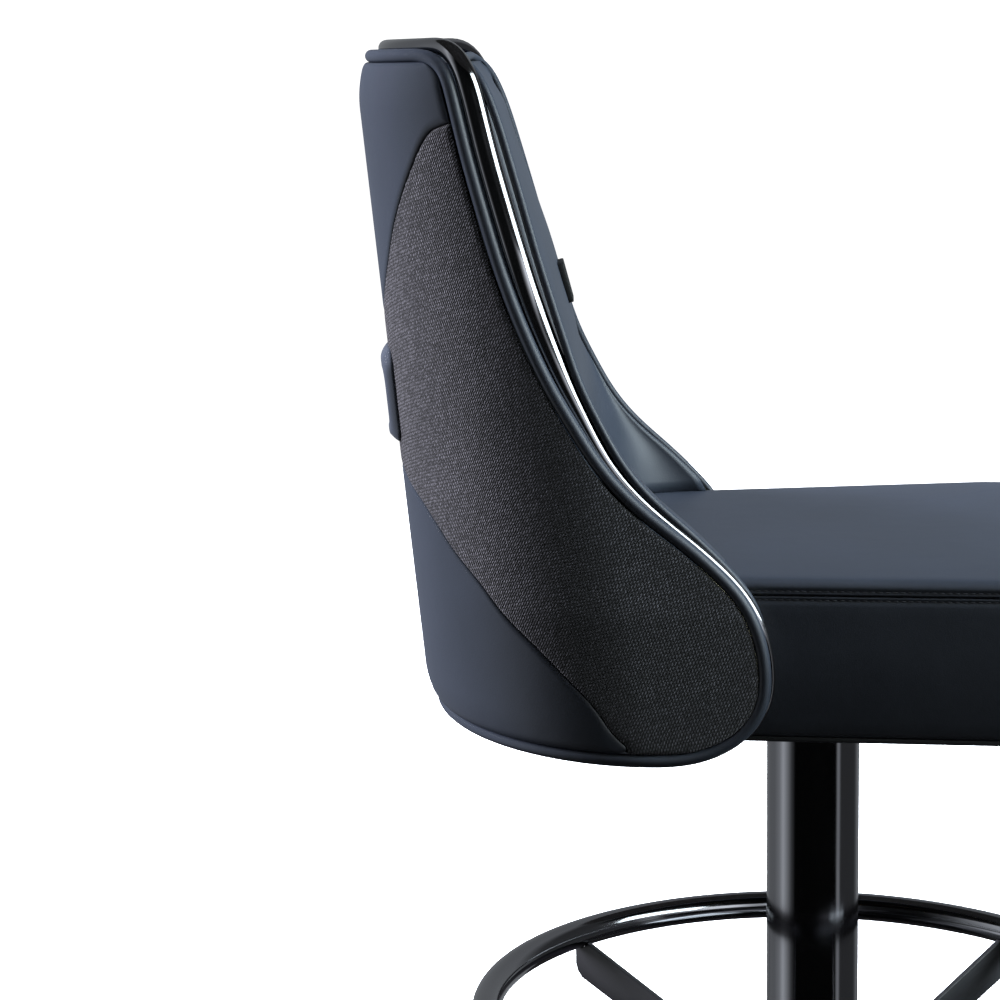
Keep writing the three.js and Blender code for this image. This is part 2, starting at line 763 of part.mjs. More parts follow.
bracketTurns.forEach(({ side, turn }) => {
  const name = side < 0 ? 'back_bracket_right' : 'back_bracket_left';
  addPiece(swivelSeat, name, cutFrom(bracketBar(0).rotateZ(turn), ...bracketPins), blackSteel);
});
const bracketBoltLength = seatBoardTop - restGap - seatBottom;
bracketTurns.flatMap(({ turn }) => boltPlacesOn(turn)).forEach(([x, y], i) => {
  const bolt = hexBolt(bracketBoltHeadRadius, bracketBoltHeadHeight, bracketBoltRadius, bracketBoltLength);
  bolt.translate(x, y, seatBottom - restGap - bracketBoltHeadHeight);
  addPiece(swivelSeat, `bracket_bolt_${i + 1}`, closedGeometry(bolt), zincSteel);
});

// Plywood board with bolt holes
addPiece(swivelSeat, 'seat_board', cutFrom(plate(
  seatOutline(seatBoardInset),
  seatBoardBottom,
  seatBoardThickness,
  mountHoles,
), ...bracketPins), plywood);

// Foam core, side band and top panel
const foamInset = seatBandWall + restGap;
const foamBottom = seatBoardTop + restGap;
addPiece(swivelSeat, 'seat_foam', plate(
  seatOutline(foamInset + seatBandTuck),
  foamBottom,
  seatSeamHeight - restGap - foamBottom,
), foam);

const bandMiddle = (seatBandBottom + seatSeamHeight) / 2;
addPiece(swivelSeat, 'seat_side_band', cutFrom(loft([
  atHeight(seatOutline(seatBandTuck), seatBandBottom),
  atHeight(seatOutline(-seatBandTuck / 4), bandMiddle),
  atHeight(seatOutline(0), seatSeamHeight - restGap),
  atHeight(seatOutline(seatBandWall), seatSeamHeight - restGap),
  atHeight(seatOutline(seatBandWall + seatBandTuck - restGap), bandMiddle),
  atHeight(seatOutline(seatBandWall + seatBandTuck - restGap), seatBandBottom),
], { closedPath: true }), ...bracketSlots), slateVinyl);

// [inset share of the roll, height share of the roll] round the top edge, then the crown
const topRollShares = [[0.12, 0], [0, 0.1], [0.05, 0.4], [0.32, 0.75], [0.8, 0.96], [1.5, 1]];
const crownShares = [[3.2, 0.5], [7, 0.85], [11, 1]];
addPiece(swivelSeat, 'seat_top_panel', loft([
  ...topRollShares.map(([inset, rise]) => (
    atHeight(seatOutline(inset * seatTopRoll), seatSeamHeight + rise * seatTopRoll)
  )),
  ...crownShares.map(([inset, rise]) => (
    atHeight(seatOutline(inset * seatTopRoll), seatTopEdge + rise * seatCrown)
  )),
], { levelEnds: true }), slateVinyl);

// Back surface
// The outer upholstery follows, at each height, a half ellipse round the rear that runs on into
// straight wings.

const riseShare = (height) => (height - backFoot) / backRise;

const planCache = new Map();
function planAt(height) {
  if (planCache.has(height)) return planCache.get(height);
  const share = riseShare(height);
  const taper = clamp01((share - flareStartShare) / (1 - flareStartShare));
  const half = lerp(wingHalfWidth, topHalfWidth, taper);
  const centre = lerp(planCentreFoot, planCentreTop, share);
  const footPart = clamp01((backFoot + footTuckRise - height) / footTuckRise);
  const topPart = clamp01((height - backTop + topTuckRise) / topTuckRise);
  const rear = lerp(rearFootDepth, rearTopDepth, share) - footTuck * footPart ** 2 - topTuck * topPart ** 2;
  const line = [[0, rear]];
  const runs = [0];
  const pushPoint = (x, y) => {
    const [px, py] = line[line.length - 1];
    runs.push(runs[runs.length - 1] + Math.hypot(x - px, y - py));
    line.push([x, y]);
  };
  for (let i = 1; i <= planSteps; i++) {
    const turn = (Math.PI / 2) * (i / planSteps);
    pushPoint(half * Math.sin(turn), centre + (rear - centre) * Math.cos(turn));
  }
  pushPoint(half, -wingFrontDepth);
  const plan = { half, centre, rear, line, runs };
  planCache.set(height, plan);
  return plan;
}

// Length along the plan from the rear centre to the place where the depth is y
function runAtDepth(height, y) {
  const { line, runs } = planAt(height);
  for (let i = 1; i < line.length; i++) {
    if (line[i][1] <= y) {
      const part = (line[i - 1][1] - y) / (line[i - 1][1] - line[i][1]);
      return lerp(runs[i - 1], runs[i], part);
    }
  }
  return runs[runs.length - 1];
}

function planPoint(height, run) {
  const { line, runs } = planAt(height);
  const distance = Math.abs(run);
  let i = 1;
  while (i < runs.length - 1 && runs[i] < distance) i++;
  const part = (distance - runs[i - 1]) / (runs[i] - runs[i - 1]);
  const side = Math.sign(run) || 1;
  return new THREE.Vector3(
    side * lerp(line[i - 1][0], line[i][0], part),
    lerp(line[i - 1][1], line[i][1], part),
    height,
  );
}

// Point at a depth below the outer face, measured square to it
const probe = weltRadius;
function backPoint(height, run, depth = 0) {
  const point = planPoint(height, run);
  if (depth === 0) return point;
  const along = planPoint(height, run + probe).sub(planPoint(height, run - probe));
  const share = run / Math.max(runAtDepth(height, wingFrontDepth), probe);
  const low = Math.max(height - probe, backFoot);
  const high = Math.min(height + probe, backTop);
  const upward = planPoint(high, share * runAtDepth(high, wingFrontDepth))
    .sub(planPoint(low, share * runAtDepth(low, wingFrontDepth)));
  const normal = along.cross(upward).normalize();
  if (normal.dot(new THREE.Vector3(point.x, point.y - planAt(height).centre, 0)) < 0) normal.negate();
  return point.addScaledVector(normal, -depth);
}

// Rim of the back in side view: foot corner, swept wing front and top corner, as [depth, height] points.
// Shares are [share of the back's rise, share of the wing reach].
const rimShares = [
  [0.118, 0], [0.172, 0.013], [0.234, 0.06], [0.3, 0.173], [0.362, 0.307], [0.42, 0.4], [0.485, 0.473],
  [0.544, 0.53], [0.625, 0.59], [0.702, 0.637], [0.781, 0.677], [0.853, 0.71], [0.923, 0.737],
  [0.955, 0.749],
];
function rimLine() {
  const points = [];
  const footTop = backFoot + footCornerRise;
  for (let i = 0; i < rimCornerSteps; i++) {
    const turn = (Math.PI / 2) * (1 - i / rimCornerSteps);
    points.push([
      wingFrontDepth + footCornerReach * (1 - Math.cos(turn)),
      footTop - footCornerRise * Math.sin(turn),
    ]);
  }
  const swept = rimShares.map(([rise, reach]) => new THREE.Vector2(
    wingFrontDepth + reach * wingReach,
    backFoot + rise * backRise,
  ));
  points.push(...new THREE.SplineCurve(swept).getPoints(rimSteps).map(({ x, y }) => [x, y]));
  const [lastDepth, lastHeight] = points[points.length - 1];
  for (let i = 1; i <= rimCornerSteps; i++) {
    const turn = (Math.PI / 2) * (i / rimCornerSteps);
    points.push([
      lastDepth + topCornerRadius * (1 - Math.cos(turn)),
      lastHeight + (backTop - lastHeight) * Math.sin(turn),
    ]);
  }
  return points;
}

// Side-view normals that point out of the back, for each rim point
const rim = rimLine();
const rimNormals = rim.map((_, i) => {
  const [y0, z0] = rim[Math.max(i - 1, 0)];
  const [y1, z1] = rim[Math.min(i + 1, rim.length - 1)];
  const length = Math.hypot(y1 - y0, z1 - z0);
  return [-(z1 - z0) / length, (y1 - y0) / length];
});
rimNormals[0] = [0, -1];
rimNormals[rim.length - 1] = [0, 1];

// Depth of the rim at a height, for a rim moved outwards by a distance (inwards when negative)
function rimDepth(height, outwards) {
  const moved = rim.map(([y, z], i) => [z + rimNormals[i][1] * outwards, y + rimNormals[i][0] * outwards]);
  return tableAt(moved, height);
}

// Skin over part of the back: columns are shares across from -1 to 1 of the rim's run, rows are shares
// between two height lines, and the skin lies between two depths below the outer face
function backSkin(columns, rows, lowAt, highAt, face, back, edgeInset = weltInset) {
  const at = (across, up, depth) => {
    const height = lerp(lowAt(Math.abs(across)), highAt(Math.abs(across)), up);
    const run = runAtDepth(height, rimDepth(height, -edgeInset));
    return backPoint(height, across * run, depth);
  };
  return columns.map((across) => [
    ...rows.map((up) => at(across, up, face)),
    ...rows.map((up) => at(across, up, back)).reverse(),
  ]);
}
const evenShares = (steps, ease = (share) => share) => (
  Array.from({ length: steps + 1 }, (_, i) => ease(i / steps))
);

// Strip ends for skins: the first and last rings are closed with a row of quads
function loftStrip(rings) {
  const count = rings[0].length;
  const rows = count / 2;
  const positions = rings.flatMap((ring) => ring.flatMap((point) => [point.x, point.y, point.z]));
  const index = [];
  for (let i = 0; i < rings.length - 1; i++) {
    for (let j = 0; j < count; j++) {
      const k = (j + 1) % count;
      const here = i * count;
      const next = here + count;
      index.push(here + j, here + k, next + j, here + k, next + k, next + j);
    }
  }
  const last = (rings.length - 1) * count;
  for (let j = 0; j < rows - 1; j++) {
    const mate = count - 1 - j;
    index.push(j, mate, j + 1, j + 1, mate, mate - 1);
    index.push(last + j, last + j + 1, last + mate, last + j + 1, last + mate - 1, last + mate);
  }
  const geometry = new THREE.BufferGeometry();
  geometry.setAttribute('position', new THREE.Float32BufferAttribute(positions, 3));
  geometry.setIndex(index);
  return closedGeometry(geometry);
}

// Upholstery seams: [share across, share of the rise]
const upperSeamShares = [
  [0, 0.594], [0.09, 0.606], [0.18, 0.631], [0.37, 0.694], [0.51, 0.754], [0.66, 0.812], [0.75, 0.845],
  [0.83, 0.874], [0.9, 0.892], [1, 0.903],
];
const lowerSeamShares = [
  [0, 0.377], [0.12, 0.372], [0.23, 0.356], [0.33, 0.335], [0.39, 0.308], [0.43, 0.28], [0.49, 0.24],
  [0.53, 0.203], [0.6, 0.155], [0.67, 0.103], [0.77, 0.039], [0.86, 0.012],
];
const skinFoot = backFoot + weltInset;
const skinTop = backTop - weltInset;
const upperSeam = (across) => backFoot + backRise * tableAt(upperSeamShares, across);
const lowerSeam = (across) => Math.max(skinFoot, backFoot + backRise * tableAt(lowerSeamShares, across));
const halfColumnShares = [0.1, 0.2, 0.3, 0.4, 0.48, 0.56, 0.63, 0.7, 0.76, 0.82, 0.88, 0.94, 1];
const skinColumns = [...halfColumnShares.map((share) => -share).reverse(), 0, ...halfColumnShares];
const lowerPanelReachShare = 0.88;

const handleCentre = backFoot + handleCentreRise;
const easeTop = (share) => 1 - (1 - share) ** 1.5;
const easeFoot = (share) => share ** 1.4;

// Rounded rectangle on the back round the handle's centre, at a depth below the outer face
const handleSideSteps = 6;
function handleRing(halfWidth, halfHeight, depth, corner = handleCorner) {
  const outline = roundedRectangle(halfWidth, halfHeight, corner);
  const points = outline.flatMap(([x, z], i) => {
    const [nextX, nextZ] = outline[(i + 1) % outline.length];
    const steps = Math.abs(nextX - x) > halfWidth / 2 ? handleSideSteps : 1;
    const places = Array.from({ length: steps }, (_, k) => k / steps);
    return places.map((share) => [lerp(x, nextX, share), lerp(z, nextZ, share)]);
  });
  return points.map(([x, z]) => backPoint(handleCentre + z, x, depth));
}
const pocketHalfWidth = handleMouthHalfWidth + handleWall;
const pocketHalfHeight = handleMouthHalfHeight + handleWall;
const pocketFloor = handlePocketDepth + handleWall;
const handleCut = (margin) => loft([
  handleRing(pocketHalfWidth + margin, pocketHalfHeight + margin, -handleProud),
  handleRing(pocketHalfWidth + margin, pocketHalfHeight + margin, pocketFloor / 2),
  handleRing(pocketHalfWidth + margin, pocketHalfHeight + margin, pocketFloor + margin),
]);

addPiece(swivelSeat, 'rear_top_panel', loftStrip(backSkin(
  skinColumns,
  evenShares(topPanelRows, easeTop),
  (across) => upperSeam(across) + seamGap / 2,
  () => skinTop,
  0,
  skinThickness,
)), slateVinyl);
addPiece(swivelSeat, 'rear_fabric_wrap', cutFrom(loftStrip(backSkin(
  skinColumns,
  evenShares(fabricRows, easeFoot),
  (across) => {
    const seam = Math.max(lowerSeam(across), skinFoot + seamGap) + seamGap / 2;
    return across > lowerPanelReachShare ? skinFoot : seam;
  },
  (across) => upperSeam(across) - seamGap / 2,
  0,
  skinThickness,
)), handleCut(holeClearance)), charcoalWeave);
addPiece(swivelSeat, 'rear_bottom_panel', loftStrip(backSkin(
  skinColumns.filter((across) => Math.abs(across) <= lowerPanelReachShare),
  evenShares(bottomPanelRows, easeFoot),
  () => skinFoot,
  (across) => Math.max(lowerSeam(across) - seamGap / 2, skinFoot + seamGap / 2),
  0,
  skinThickness,
)), slateVinyl);

const shellRowShares = [0, 0.012, 0.03, 0.06, 0.14, 0.28, 0.43, 0.58, 0.74, 0.88, 0.945, 0.975, 1];
const shellSlab = (face, back, rowShares = shellRowShares) => loftStrip(backSkin(
  skinColumns,
  rowShares,
  () => skinFoot,
  () => skinTop,
  face,
  back,
  weltInset + shellEdgeInset,
));
addPiece(swivelSeat, 'back_shell', cutFrom(
  shellSlab(shellFace, shellBack),
  handleCut(holeClearance),
), blackPlastic);
const hollowRowShares = [-0.006, ...shellRowShares, 1.006];
const shellHollow = shellSlab(-edgeClear, shellBack + 2 * restGap, hollowRowShares);

// Recessed pull handle: bevelled frame round a pocket
addPiece(swivelSeat, 'pull_handle', loft([
  handleRing(
    handleMouthHalfWidth - handlePocketTaper,
    handleMouthHalfHeight - handlePocketTaper,
    handlePocketDepth,
  ),
  handleRing(handleMouthHalfWidth, handleMouthHalfHeight, -handleProud / 2),
  handleRing(handleMouthHalfWidth + handleWall, handleMouthHalfHeight + handleWall, -handleProud),
  handleRing(handleHalfWidth - handleBevel, handleHalfHeight - handleBevel, -handleProud),
  handleRing(handleHalfWidth, handleHalfHeight, -handleProud / 3),
  handleRing(handleHalfWidth, handleHalfHeight, -restGap),
  handleRing(pocketHalfWidth, pocketHalfHeight, -restGap),
  handleRing(pocketHalfWidth - handlePocketTaper, pocketHalfHeight - handlePocketTaper, pocketFloor),
]), blackPlastic);

// Edge of the back: welt, trim and front roll side by side along the rim

// Rim points up the right side, over the top and down the left side
const sidePoints = (side) => rim.map(([y, z]) => backPoint(z, side * runAtDepth(z, y), weltSink));
const acrossPoints = (z, y, steps, from, to) => Array.from({ length: steps }, (_, i) => {
  const share = lerp(from, to, (i + 1) / (steps + 1));
  return backPoint(z, share * runAtDepth(z, y), weltSink);
});
const topSteps = 9;
const weltSteps = 100;
const [rimTopDepth] = rim[rim.length - 1];
const edgePath = [
  ...sidePoints(-1),
  ...acrossPoints(backTop, rimTopDepth, topSteps, -1, 1),
  ...sidePoints(1).reverse(),
];
const [rimFootDepth] = rim[0];
const footHalfSteps = 12;
const footRun = runAtDepth(backFoot, rimFootDepth);
const footPoints = (side) => Array.from({ length: footHalfSteps }, (_, i) => (
  backPoint(backFoot, side * lerp(weltJointGap, footRun, i / footHalfSteps), weltSink)
));
const weltPath = [...footPoints(-1), ...edgePath, ...footPoints(1).reverse()];

function tube(points, radius, sides, steps) {
  const outline = circleOutline(radius, 0, 0, sides);
  const shape = new THREE.Shape(outline.map(([x, y]) => new THREE.Vector2(x, y)));
  const extrudePath = new THREE.CatmullRomCurve3(points, false, 'centripetal');
  return closedGeometry(new THREE.ExtrudeGeometry(shape, { steps, extrudePath, bevelEnabled: false }));
}
addPiece(swivelSeat, 'rear_welt', tube(weltPath, weltRadius, hexSides, weltSteps), slateVinyl);

// Along the rim, by share of the rise: turn of the stack from forwards to inwards, half width of the
// trim, and the roll's place and radius
const stackTurnShares = [
  [0.02, 1], [0.12, 0.93], [0.27, 0.94], [0.305, 0.9], [0.335, 0.81], [0.37, 0.71], [0.443, 0.56],
  [0.56, 0.25], [0.636, 0.16], [0.71, 0],
];
const trimWidthShares = [
  [0.25, 0.47], [0.305, 0.56], [0.365, 0.67], [0.443, 0.79], [0.56, 0.93], [0.636, 1],
];
const rollForwardShares = [
  [0.02, 0], [0.1, 0.1], [0.172, 0.15], [0.219, 0.32], [0.25, 0.41], [0.284, 0.53], [0.307, 0.62],
  [0.344, 0.735], [0.431, 0.735], [0.478, 0.82], [0.636, 1],
];
const rollInwardShares = [
  [0.172, 1], [0.25, 0.75], [0.305, 0.6], [0.365, 0.45], [0.443, 0.3], [0.56, 0.15], [0.636, 0.1],
];
const rollSizeShares = [[0.172, 0.58], [0.25, 0.66], [0.365, 0.75], [0.443, 0.84], [0.636, 1]];
const forwards = new THREE.Vector3(0, -1, 0);

// Frame at each point of the edge path: the plan's inward normal, the stack's direction and the way out
const edgeFrames = edgePath.map((point, i) => {
  const before = edgePath[Math.max(i - 1, 0)];
  const after = edgePath[Math.min(i + 1, edgePath.length - 1)];
  const along = after.clone().sub(before).normalize();
  const height = clamp01(riseShare(point.z)) * backRise + backFoot;
  const run = Math.sign(point.x) * runAtDepth(height, point.y);
  const tangent = planPoint(height, run + probe).sub(planPoint(height, run - probe)).normalize();
  const inwards = new THREE.Vector3(-tangent.y, tangent.x, 0);
  if (inwards.dot(new THREE.Vector3(point.x, point.y - planAt(height).centre, 0)) > 0) inwards.negate();
  const turn = (Math.PI / 2) * tableAt(stackTurnShares, riseShare(point.z));
  const stack = forwards.clone().multiplyScalar(Math.cos(turn)).addScaledVector(inwards, Math.sin(turn));
  stack.addScaledVector(along, -stack.dot(along)).normalize();
  const out = stack.clone().cross(along).normalize();
  return { point, inwards, stack, out, rise: riseShare(point.z) };
});
const topPartAt = (rise) => clamp01((rise * backRise - (backRise - topTuckRise)) / topTuckRise) ** 2;

function edgeRing(centre, stack, out, halfWidth, halfThickness, sides) {
  return Array.from({ length: sides }, (_, i) => {
    const turn = (2 * Math.PI * (i + 0.5)) / sides;
    return centre.clone()
      .addScaledVector(stack, halfWidth * Math.cos(turn))
      .addScaledVector(out, halfThickness * Math.sin(turn));
  });
}

const trimSides = 8;
addPiece(swivelSeat, 'back_trim', loft(edgeFrames.map(({ point, stack, out, rise }) => {
  const half = trimHalfWidth * tableAt(trimWidthShares, rise);
  const centre = point.clone()
    .addScaledVector(stack, weltRadius + edgeGap + half)
    .addScaledVector(out, topLift * topPartAt(rise) - trimSink);
  return edgeRing(centre, stack, out, half, trimThickness / 2, trimSides);
})), smokedChrome);

// Front face of the cushion at the middle, and its wings' place, by height
const frontLeanShares = [
  [0.2, 0.331], [0.269, 0.199], [0.327, 0.081], [0.385, 0], [0.443, 0], [0.501, 0.059], [0.559, 0.158],
  [0.619, 0.302], [0.65, 0.368], [0.712, 0.581], [0.774, 0.799], [0.836, 1.001], [0.907, 1.222],
  [0.965, 1.461],
];
const frontDepth = (height) => lumbarDepth + rearLean * tableAt(frontLeanShares, riseShare(height));
const rollCentreDepth = (height) => (
  rimDepth(height, 0) - rollReach * tableAt(rollForwardShares, riseShare(height))
);

const cushionTopStart = backTop - rollRadius - 2 * rollDrop;
const topFrontDepth = frontDepth(cushionTopStart) + rollRadius / 2;
addPiece(swivelSeat, 'front_edge_roll', loft(edgeFrames.map(({ point, inwards, stack, out, rise }, i) => {
  const radius = rollRadius * tableAt(rollSizeShares, rise);
  const centre = point.clone()
    .addScaledVector(forwards, rollReach * tableAt(rollForwardShares, rise))
    .addScaledVector(inwards, rollInset * tableAt(rollInwardShares, rise));
  const onTop = i >= rim.length && i < edgeFrames.length - rim.length;
  centre.y = onTop ? topFrontDepth : Math.min(centre.y, topFrontDepth);
  centre.z -= rollDrop * topPartAt(rise);
  return edgeRing(centre, stack, out, radius, radius, hexSides);
})), slateVinyl);

// Point in a level plane at a depth inside the plan at a height
function levelPoint(height, run, depth) {
  const point = planPoint(height, run);
  const tangent = planPoint(height, run + probe).sub(planPoint(height, run - probe)).normalize();
  const normal = new THREE.Vector3(tangent.y, -tangent.x, 0);
  if (normal.dot(new THREE.Vector3(point.x, point.y - planAt(height).centre, 0)) < 0) normal.negate();
  return point.addScaledVector(normal, -depth);
}
const outerArc = (height, depth, steps, y) => Array.from({ length: steps + 1 }, (_, i) => {
  const share = 1 - (2 * i) / steps;
  return levelPoint(height, share * runAtDepth(height, y), depth);
});

// Inner cushion in level rings: outer arc on the shell, side walls behind trim and roll, and the front
const wallDepthShares = [
  [0.19, 1], [0.25, 0.92], [0.37, 0.87], [0.443, 0.85], [0.56, 0.64], [0.636, 0.6], [0.71, 0.48],
  [0.93, 0.48], [0.965, 0.85], [0.985, 1.1],
];
const padShares = [[0.4, 1], [0.7, 0.55]];
const cushionSteps = 16;
const frontSteps = 12;
const frontPowerShare = 2.2;
function cushionRing(height, { frontBack = 0, level = height } = {}) {
  const rise = riseShare(height);
  const behindRim = rimDepth(height, -edgeClear);
  const wall = wallDepth * tableAt(wallDepthShares, rise);
  const rollY = rollCentreDepth(height);
  const arc = outerArc(height, foamFace, cushionSteps, behindRim + arcEndGap);
  const rimX = planPoint(height, runAtDepth(height, rimDepth(height, 0))).x;
  const wallX = rimX - wall;
  const side = (sign) => {
    const rear = levelPoint(height, sign * runAtDepth(height, behindRim), wall);
    return [rear, new THREE.Vector3(sign * Math.min(wallX, Math.abs(rear.x)), rollY + frontBack, height)];
  };
  const edgeX = Math.min(rimX - wingPad * tableAt(padShares, rise), wallX - rollRadius);
  const middle = frontDepth(height);
  const edge = rollY - rollRadius / 2;
  const front = Array.from({ length: frontSteps + 1 }, (_, i) => {
    const share = (2 * i) / frontSteps - 1;
    const bent = Math.sin((share * Math.PI) / 2);
    const fall = 1 - clamp01(1 - Math.abs(bent) ** frontPowerShare) ** (1 / frontPowerShare);
    return new THREE.Vector3(bent * edgeX, lerp(middle, edge, fall) + frontBack, height);
  });
  const ring = [...arc, ...side(-1), ...front, ...side(1).reverse()];
  return ring.map((point) => point.setZ(level));
}
const cushionBottom = seatTopEdge + seatCrown + cushionSeatGap;
const cushionLevelShares = [0, 0.06, 0.12, 0.18, 0.25, 0.32, 0.4, 0.5, 0.62, 0.75, 0.87, 0.93, 0.97, 1];
const bracketPockets = bracketTurns.map(({ turn }) => (
  bracketBar(bracketClearance, bracketPocketDepth).rotateZ(turn)
));
const behindRoll = 2 * rollRadius + edgeGap;
const shoulderDepth = topFrontDepth + rollRadius + edgeGap;
const shoulderRing = cushionRing(cushionTopStart, {
  frontBack: behindRoll,
  level: cushionTopStart + restGap,
});
shoulderRing.forEach((point) => point.setY(Math.max(point.y, shoulderDepth)));
// The crown draws the shoulder ring in: shares of its width and depth, and of the roll's size in height
const crownRingShares = [[0.9, 0.7, 0.6], [0.8, 0.45, 1.1]];
const cushionRings = [
  ...cushionLevelShares.map((share) => cushionRing(lerp(cushionBottom, cushionTopStart, share))),
  shoulderRing,
  ...crownRingShares.map(([width, depth, rise]) => shoulderRing.map(({ x, y }) => (
    new THREE.Vector3(x * width, lerp(shoulderDepth, y, depth), cushionTopStart + rise * rollRadius)
  ))),
];
addPiece(swivelSeat, 'inner_back_cushion', cutFrom(
  loft(cushionRings, { levelEnds: true }),
  shellHollow,
  handleCut(2 * holeClearance),
  ...bracketPockets,
), slateVinyl);

// Filler between the shell and the seat below the cushion, and the cover that closes it underneath
const seatHollow = (bottom, top) => plate(seatOutline(-cushionSeatGap - restGap), bottom, top - bottom);
const fillerTop = cushionBottom - restGap;
const coverBottom = backFoot + bottomCoverRecess;
const fillerBottom = coverBottom + bottomCoverThickness + restGap;
const coreRing = (height, depth = foamFace) => (
  outerArc(height, depth, cushionSteps, rimDepth(height, -edgeClear) + arcEndGap)
);
const fillerLevelShares = [0, 0.04, 0.1, 0.18, 0.28, 0.4, 0.6, 0.8, 1];
addPiece(swivelSeat, 'back_base_foam', cutFrom(
  loft(
    fillerLevelShares.map((share) => coreRing(lerp(fillerBottom, fillerTop, share))),
    { levelEnds: true },
  ),
  seatHollow(fillerBottom - cutOverrun, fillerTop + cutOverrun),
  shellHollow,
  ...bracketPockets,
), foam);
addPiece(swivelSeat, 'back_bottom_cover', cutFrom(
  plate(
    coreRing(fillerBottom, shellBack + 2 * paddingGap).map(({ x, y }) => [x, y]),
    coverBottom,
    bottomCoverThickness,
  ),
  seatHollow(coverBottom - cutOverrun, fillerTop),
), blackPlastic);

// Bare plate on the front of the cushion
const plateCentre = backFoot + plateCentreRise;
const plateLow = frontDepth(plateCentre - plateHeight / 2);
const plateHigh = frontDepth(plateCentre + plateHeight / 2);
const plateLean = Math.atan2(plateHigh - plateLow, plateHeight);
const frontPlate = plate(roundedRectangle(plateWidth / 2, plateHeight / 2, plateCorner), 0, plateThickness)
  .rotateX(Math.PI / 2)
  .rotateX(-plateLean)
  .translate(0, (plateLow + plateHigh) / 2 - plateStandOff, plateCentre);
addPiece(swivelSeat, 'front_plate', closedGeometry(frontPlate), smokedChrome);

const stool = new THREE.Group();
stool.add(pedestal, swivelSeat);

export default stool;
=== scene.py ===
import math
from bisect import bisect_left

import bmesh
import bpy
from mathutils import Matrix, Vector


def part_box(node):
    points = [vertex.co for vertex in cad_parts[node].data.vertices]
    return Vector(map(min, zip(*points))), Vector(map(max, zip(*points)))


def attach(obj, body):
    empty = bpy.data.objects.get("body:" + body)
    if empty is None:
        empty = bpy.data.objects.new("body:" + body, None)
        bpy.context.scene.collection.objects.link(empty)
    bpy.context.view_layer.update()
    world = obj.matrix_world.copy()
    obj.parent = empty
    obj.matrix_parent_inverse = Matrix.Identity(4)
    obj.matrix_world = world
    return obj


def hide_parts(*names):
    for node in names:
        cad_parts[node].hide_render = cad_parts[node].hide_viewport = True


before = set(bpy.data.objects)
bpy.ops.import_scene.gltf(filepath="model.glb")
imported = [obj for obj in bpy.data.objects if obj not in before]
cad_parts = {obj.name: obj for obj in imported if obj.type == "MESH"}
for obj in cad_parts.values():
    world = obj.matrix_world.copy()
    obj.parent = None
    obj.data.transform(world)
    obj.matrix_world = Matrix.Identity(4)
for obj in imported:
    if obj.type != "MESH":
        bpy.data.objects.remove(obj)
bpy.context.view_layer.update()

# Swivel gaming stool. Lengths below are in millimetres, as in the part's source, and every mesh is
# written in metres. +Z is up, the sitter faces -Y.

MM = 0.001


def clamp01(value):
    return min(max(value, 0.0), 1.0)


def lerp(start, end, share):
    return start + (end - start) * share


def smooth(value):
    value = clamp01(value)
    return value * value * (3 - 2 * value)


def table_at(table, place):
    """Value at a place in a table of (place, value) rows, straight between the rows."""
    if place <= table[0][0]:
        return table[0][1]
    for (x0, y0), (x1, y1) in zip(table, table[1:]):
        if place <= x1:
            return lerp(y0, y1, (place - x0) / (x1 - x0))
    return table[-1][1]


def shared_slope(beside, here):
    """Slope at a row from the spans on its two sides, flat at a peak or a valley."""
    return 0.0 if beside * here <= 0 else 2 * beside * here / (beside + here)


def curve_at(table, place):
    """The same, on a smooth curve through the rows that never overshoots them."""
    if not table[0][0] < place < table[-1][0]:
        return table_at(table, place)
    slopes = [(b[1] - a[1]) / (b[0] - a[0]) for a, b in zip(table, table[1:])]
    i = bisect_left([row[0] for row in table], place) - 1
    (x0, y0), (x1, y1) = table[i:i + 2]
    m0 = shared_slope(slopes[max(i - 1, 0)], slopes[i])
    m1 = shared_slope(slopes[min(i + 1, len(slopes) - 1)], slopes[i])
    width = x1 - x0
    t = (place - x0) / width
    return (
        y0 * (1 + 2 * t) * (1 - t) ** 2
        + m0 * width * t * (1 - t) ** 2
        + y1 * t * t * (3 - 2 * t)
        + m1 * width * t * t * (t - 1)
    )


# ---- Finishes


def srgb(code):
    """Hex colour as the eye names it, turned to the linear values that the shader takes."""
    parts = [int(code[i:i + 2], 16) / 255 for i in (1, 3, 5)]
    return [*(p / 12.92 if p <= 0.04045 else ((p + 0.055) / 1.055) ** 2.4 for p in parts), 1.0]


def add_node(tree, kind, inputs=None, **settings):
    """One node with its settings, and its inputs set to a value or linked to another node's output."""
    node = tree.nodes.new(kind)
    for name, value in settings.items():
        setattr(node, name, value)
    for name, value in (inputs or {}).items():
        if isinstance(value, bpy.types.NodeSocket):
            tree.links.new(value, node.inputs[name])
        else:
            node.inputs[name].default_value = value
    return node


def new_finish(name, colour, roughness, metallic=0.0, ior=1.5, **extra):
    """Material with a Principled shader; returns the material, its tree and the shader."""
    material = bpy.data.materials.new(name)
    material.use_nodes = True
    tree = material.node_tree
    shader = tree.nodes["Principled BSDF"]
    shader.inputs["Base Color"].default_value = srgb(colour)
    shader.inputs["Roughness"].default_value = roughness
    shader.inputs["Metallic"].default_value = metallic
    shader.inputs["IOR"].default_value = ior
    for socket, value in extra.items():
        shader.inputs[socket].default_value = value
    material.diffuse_color = srgb(colour)
    return material, tree, shader


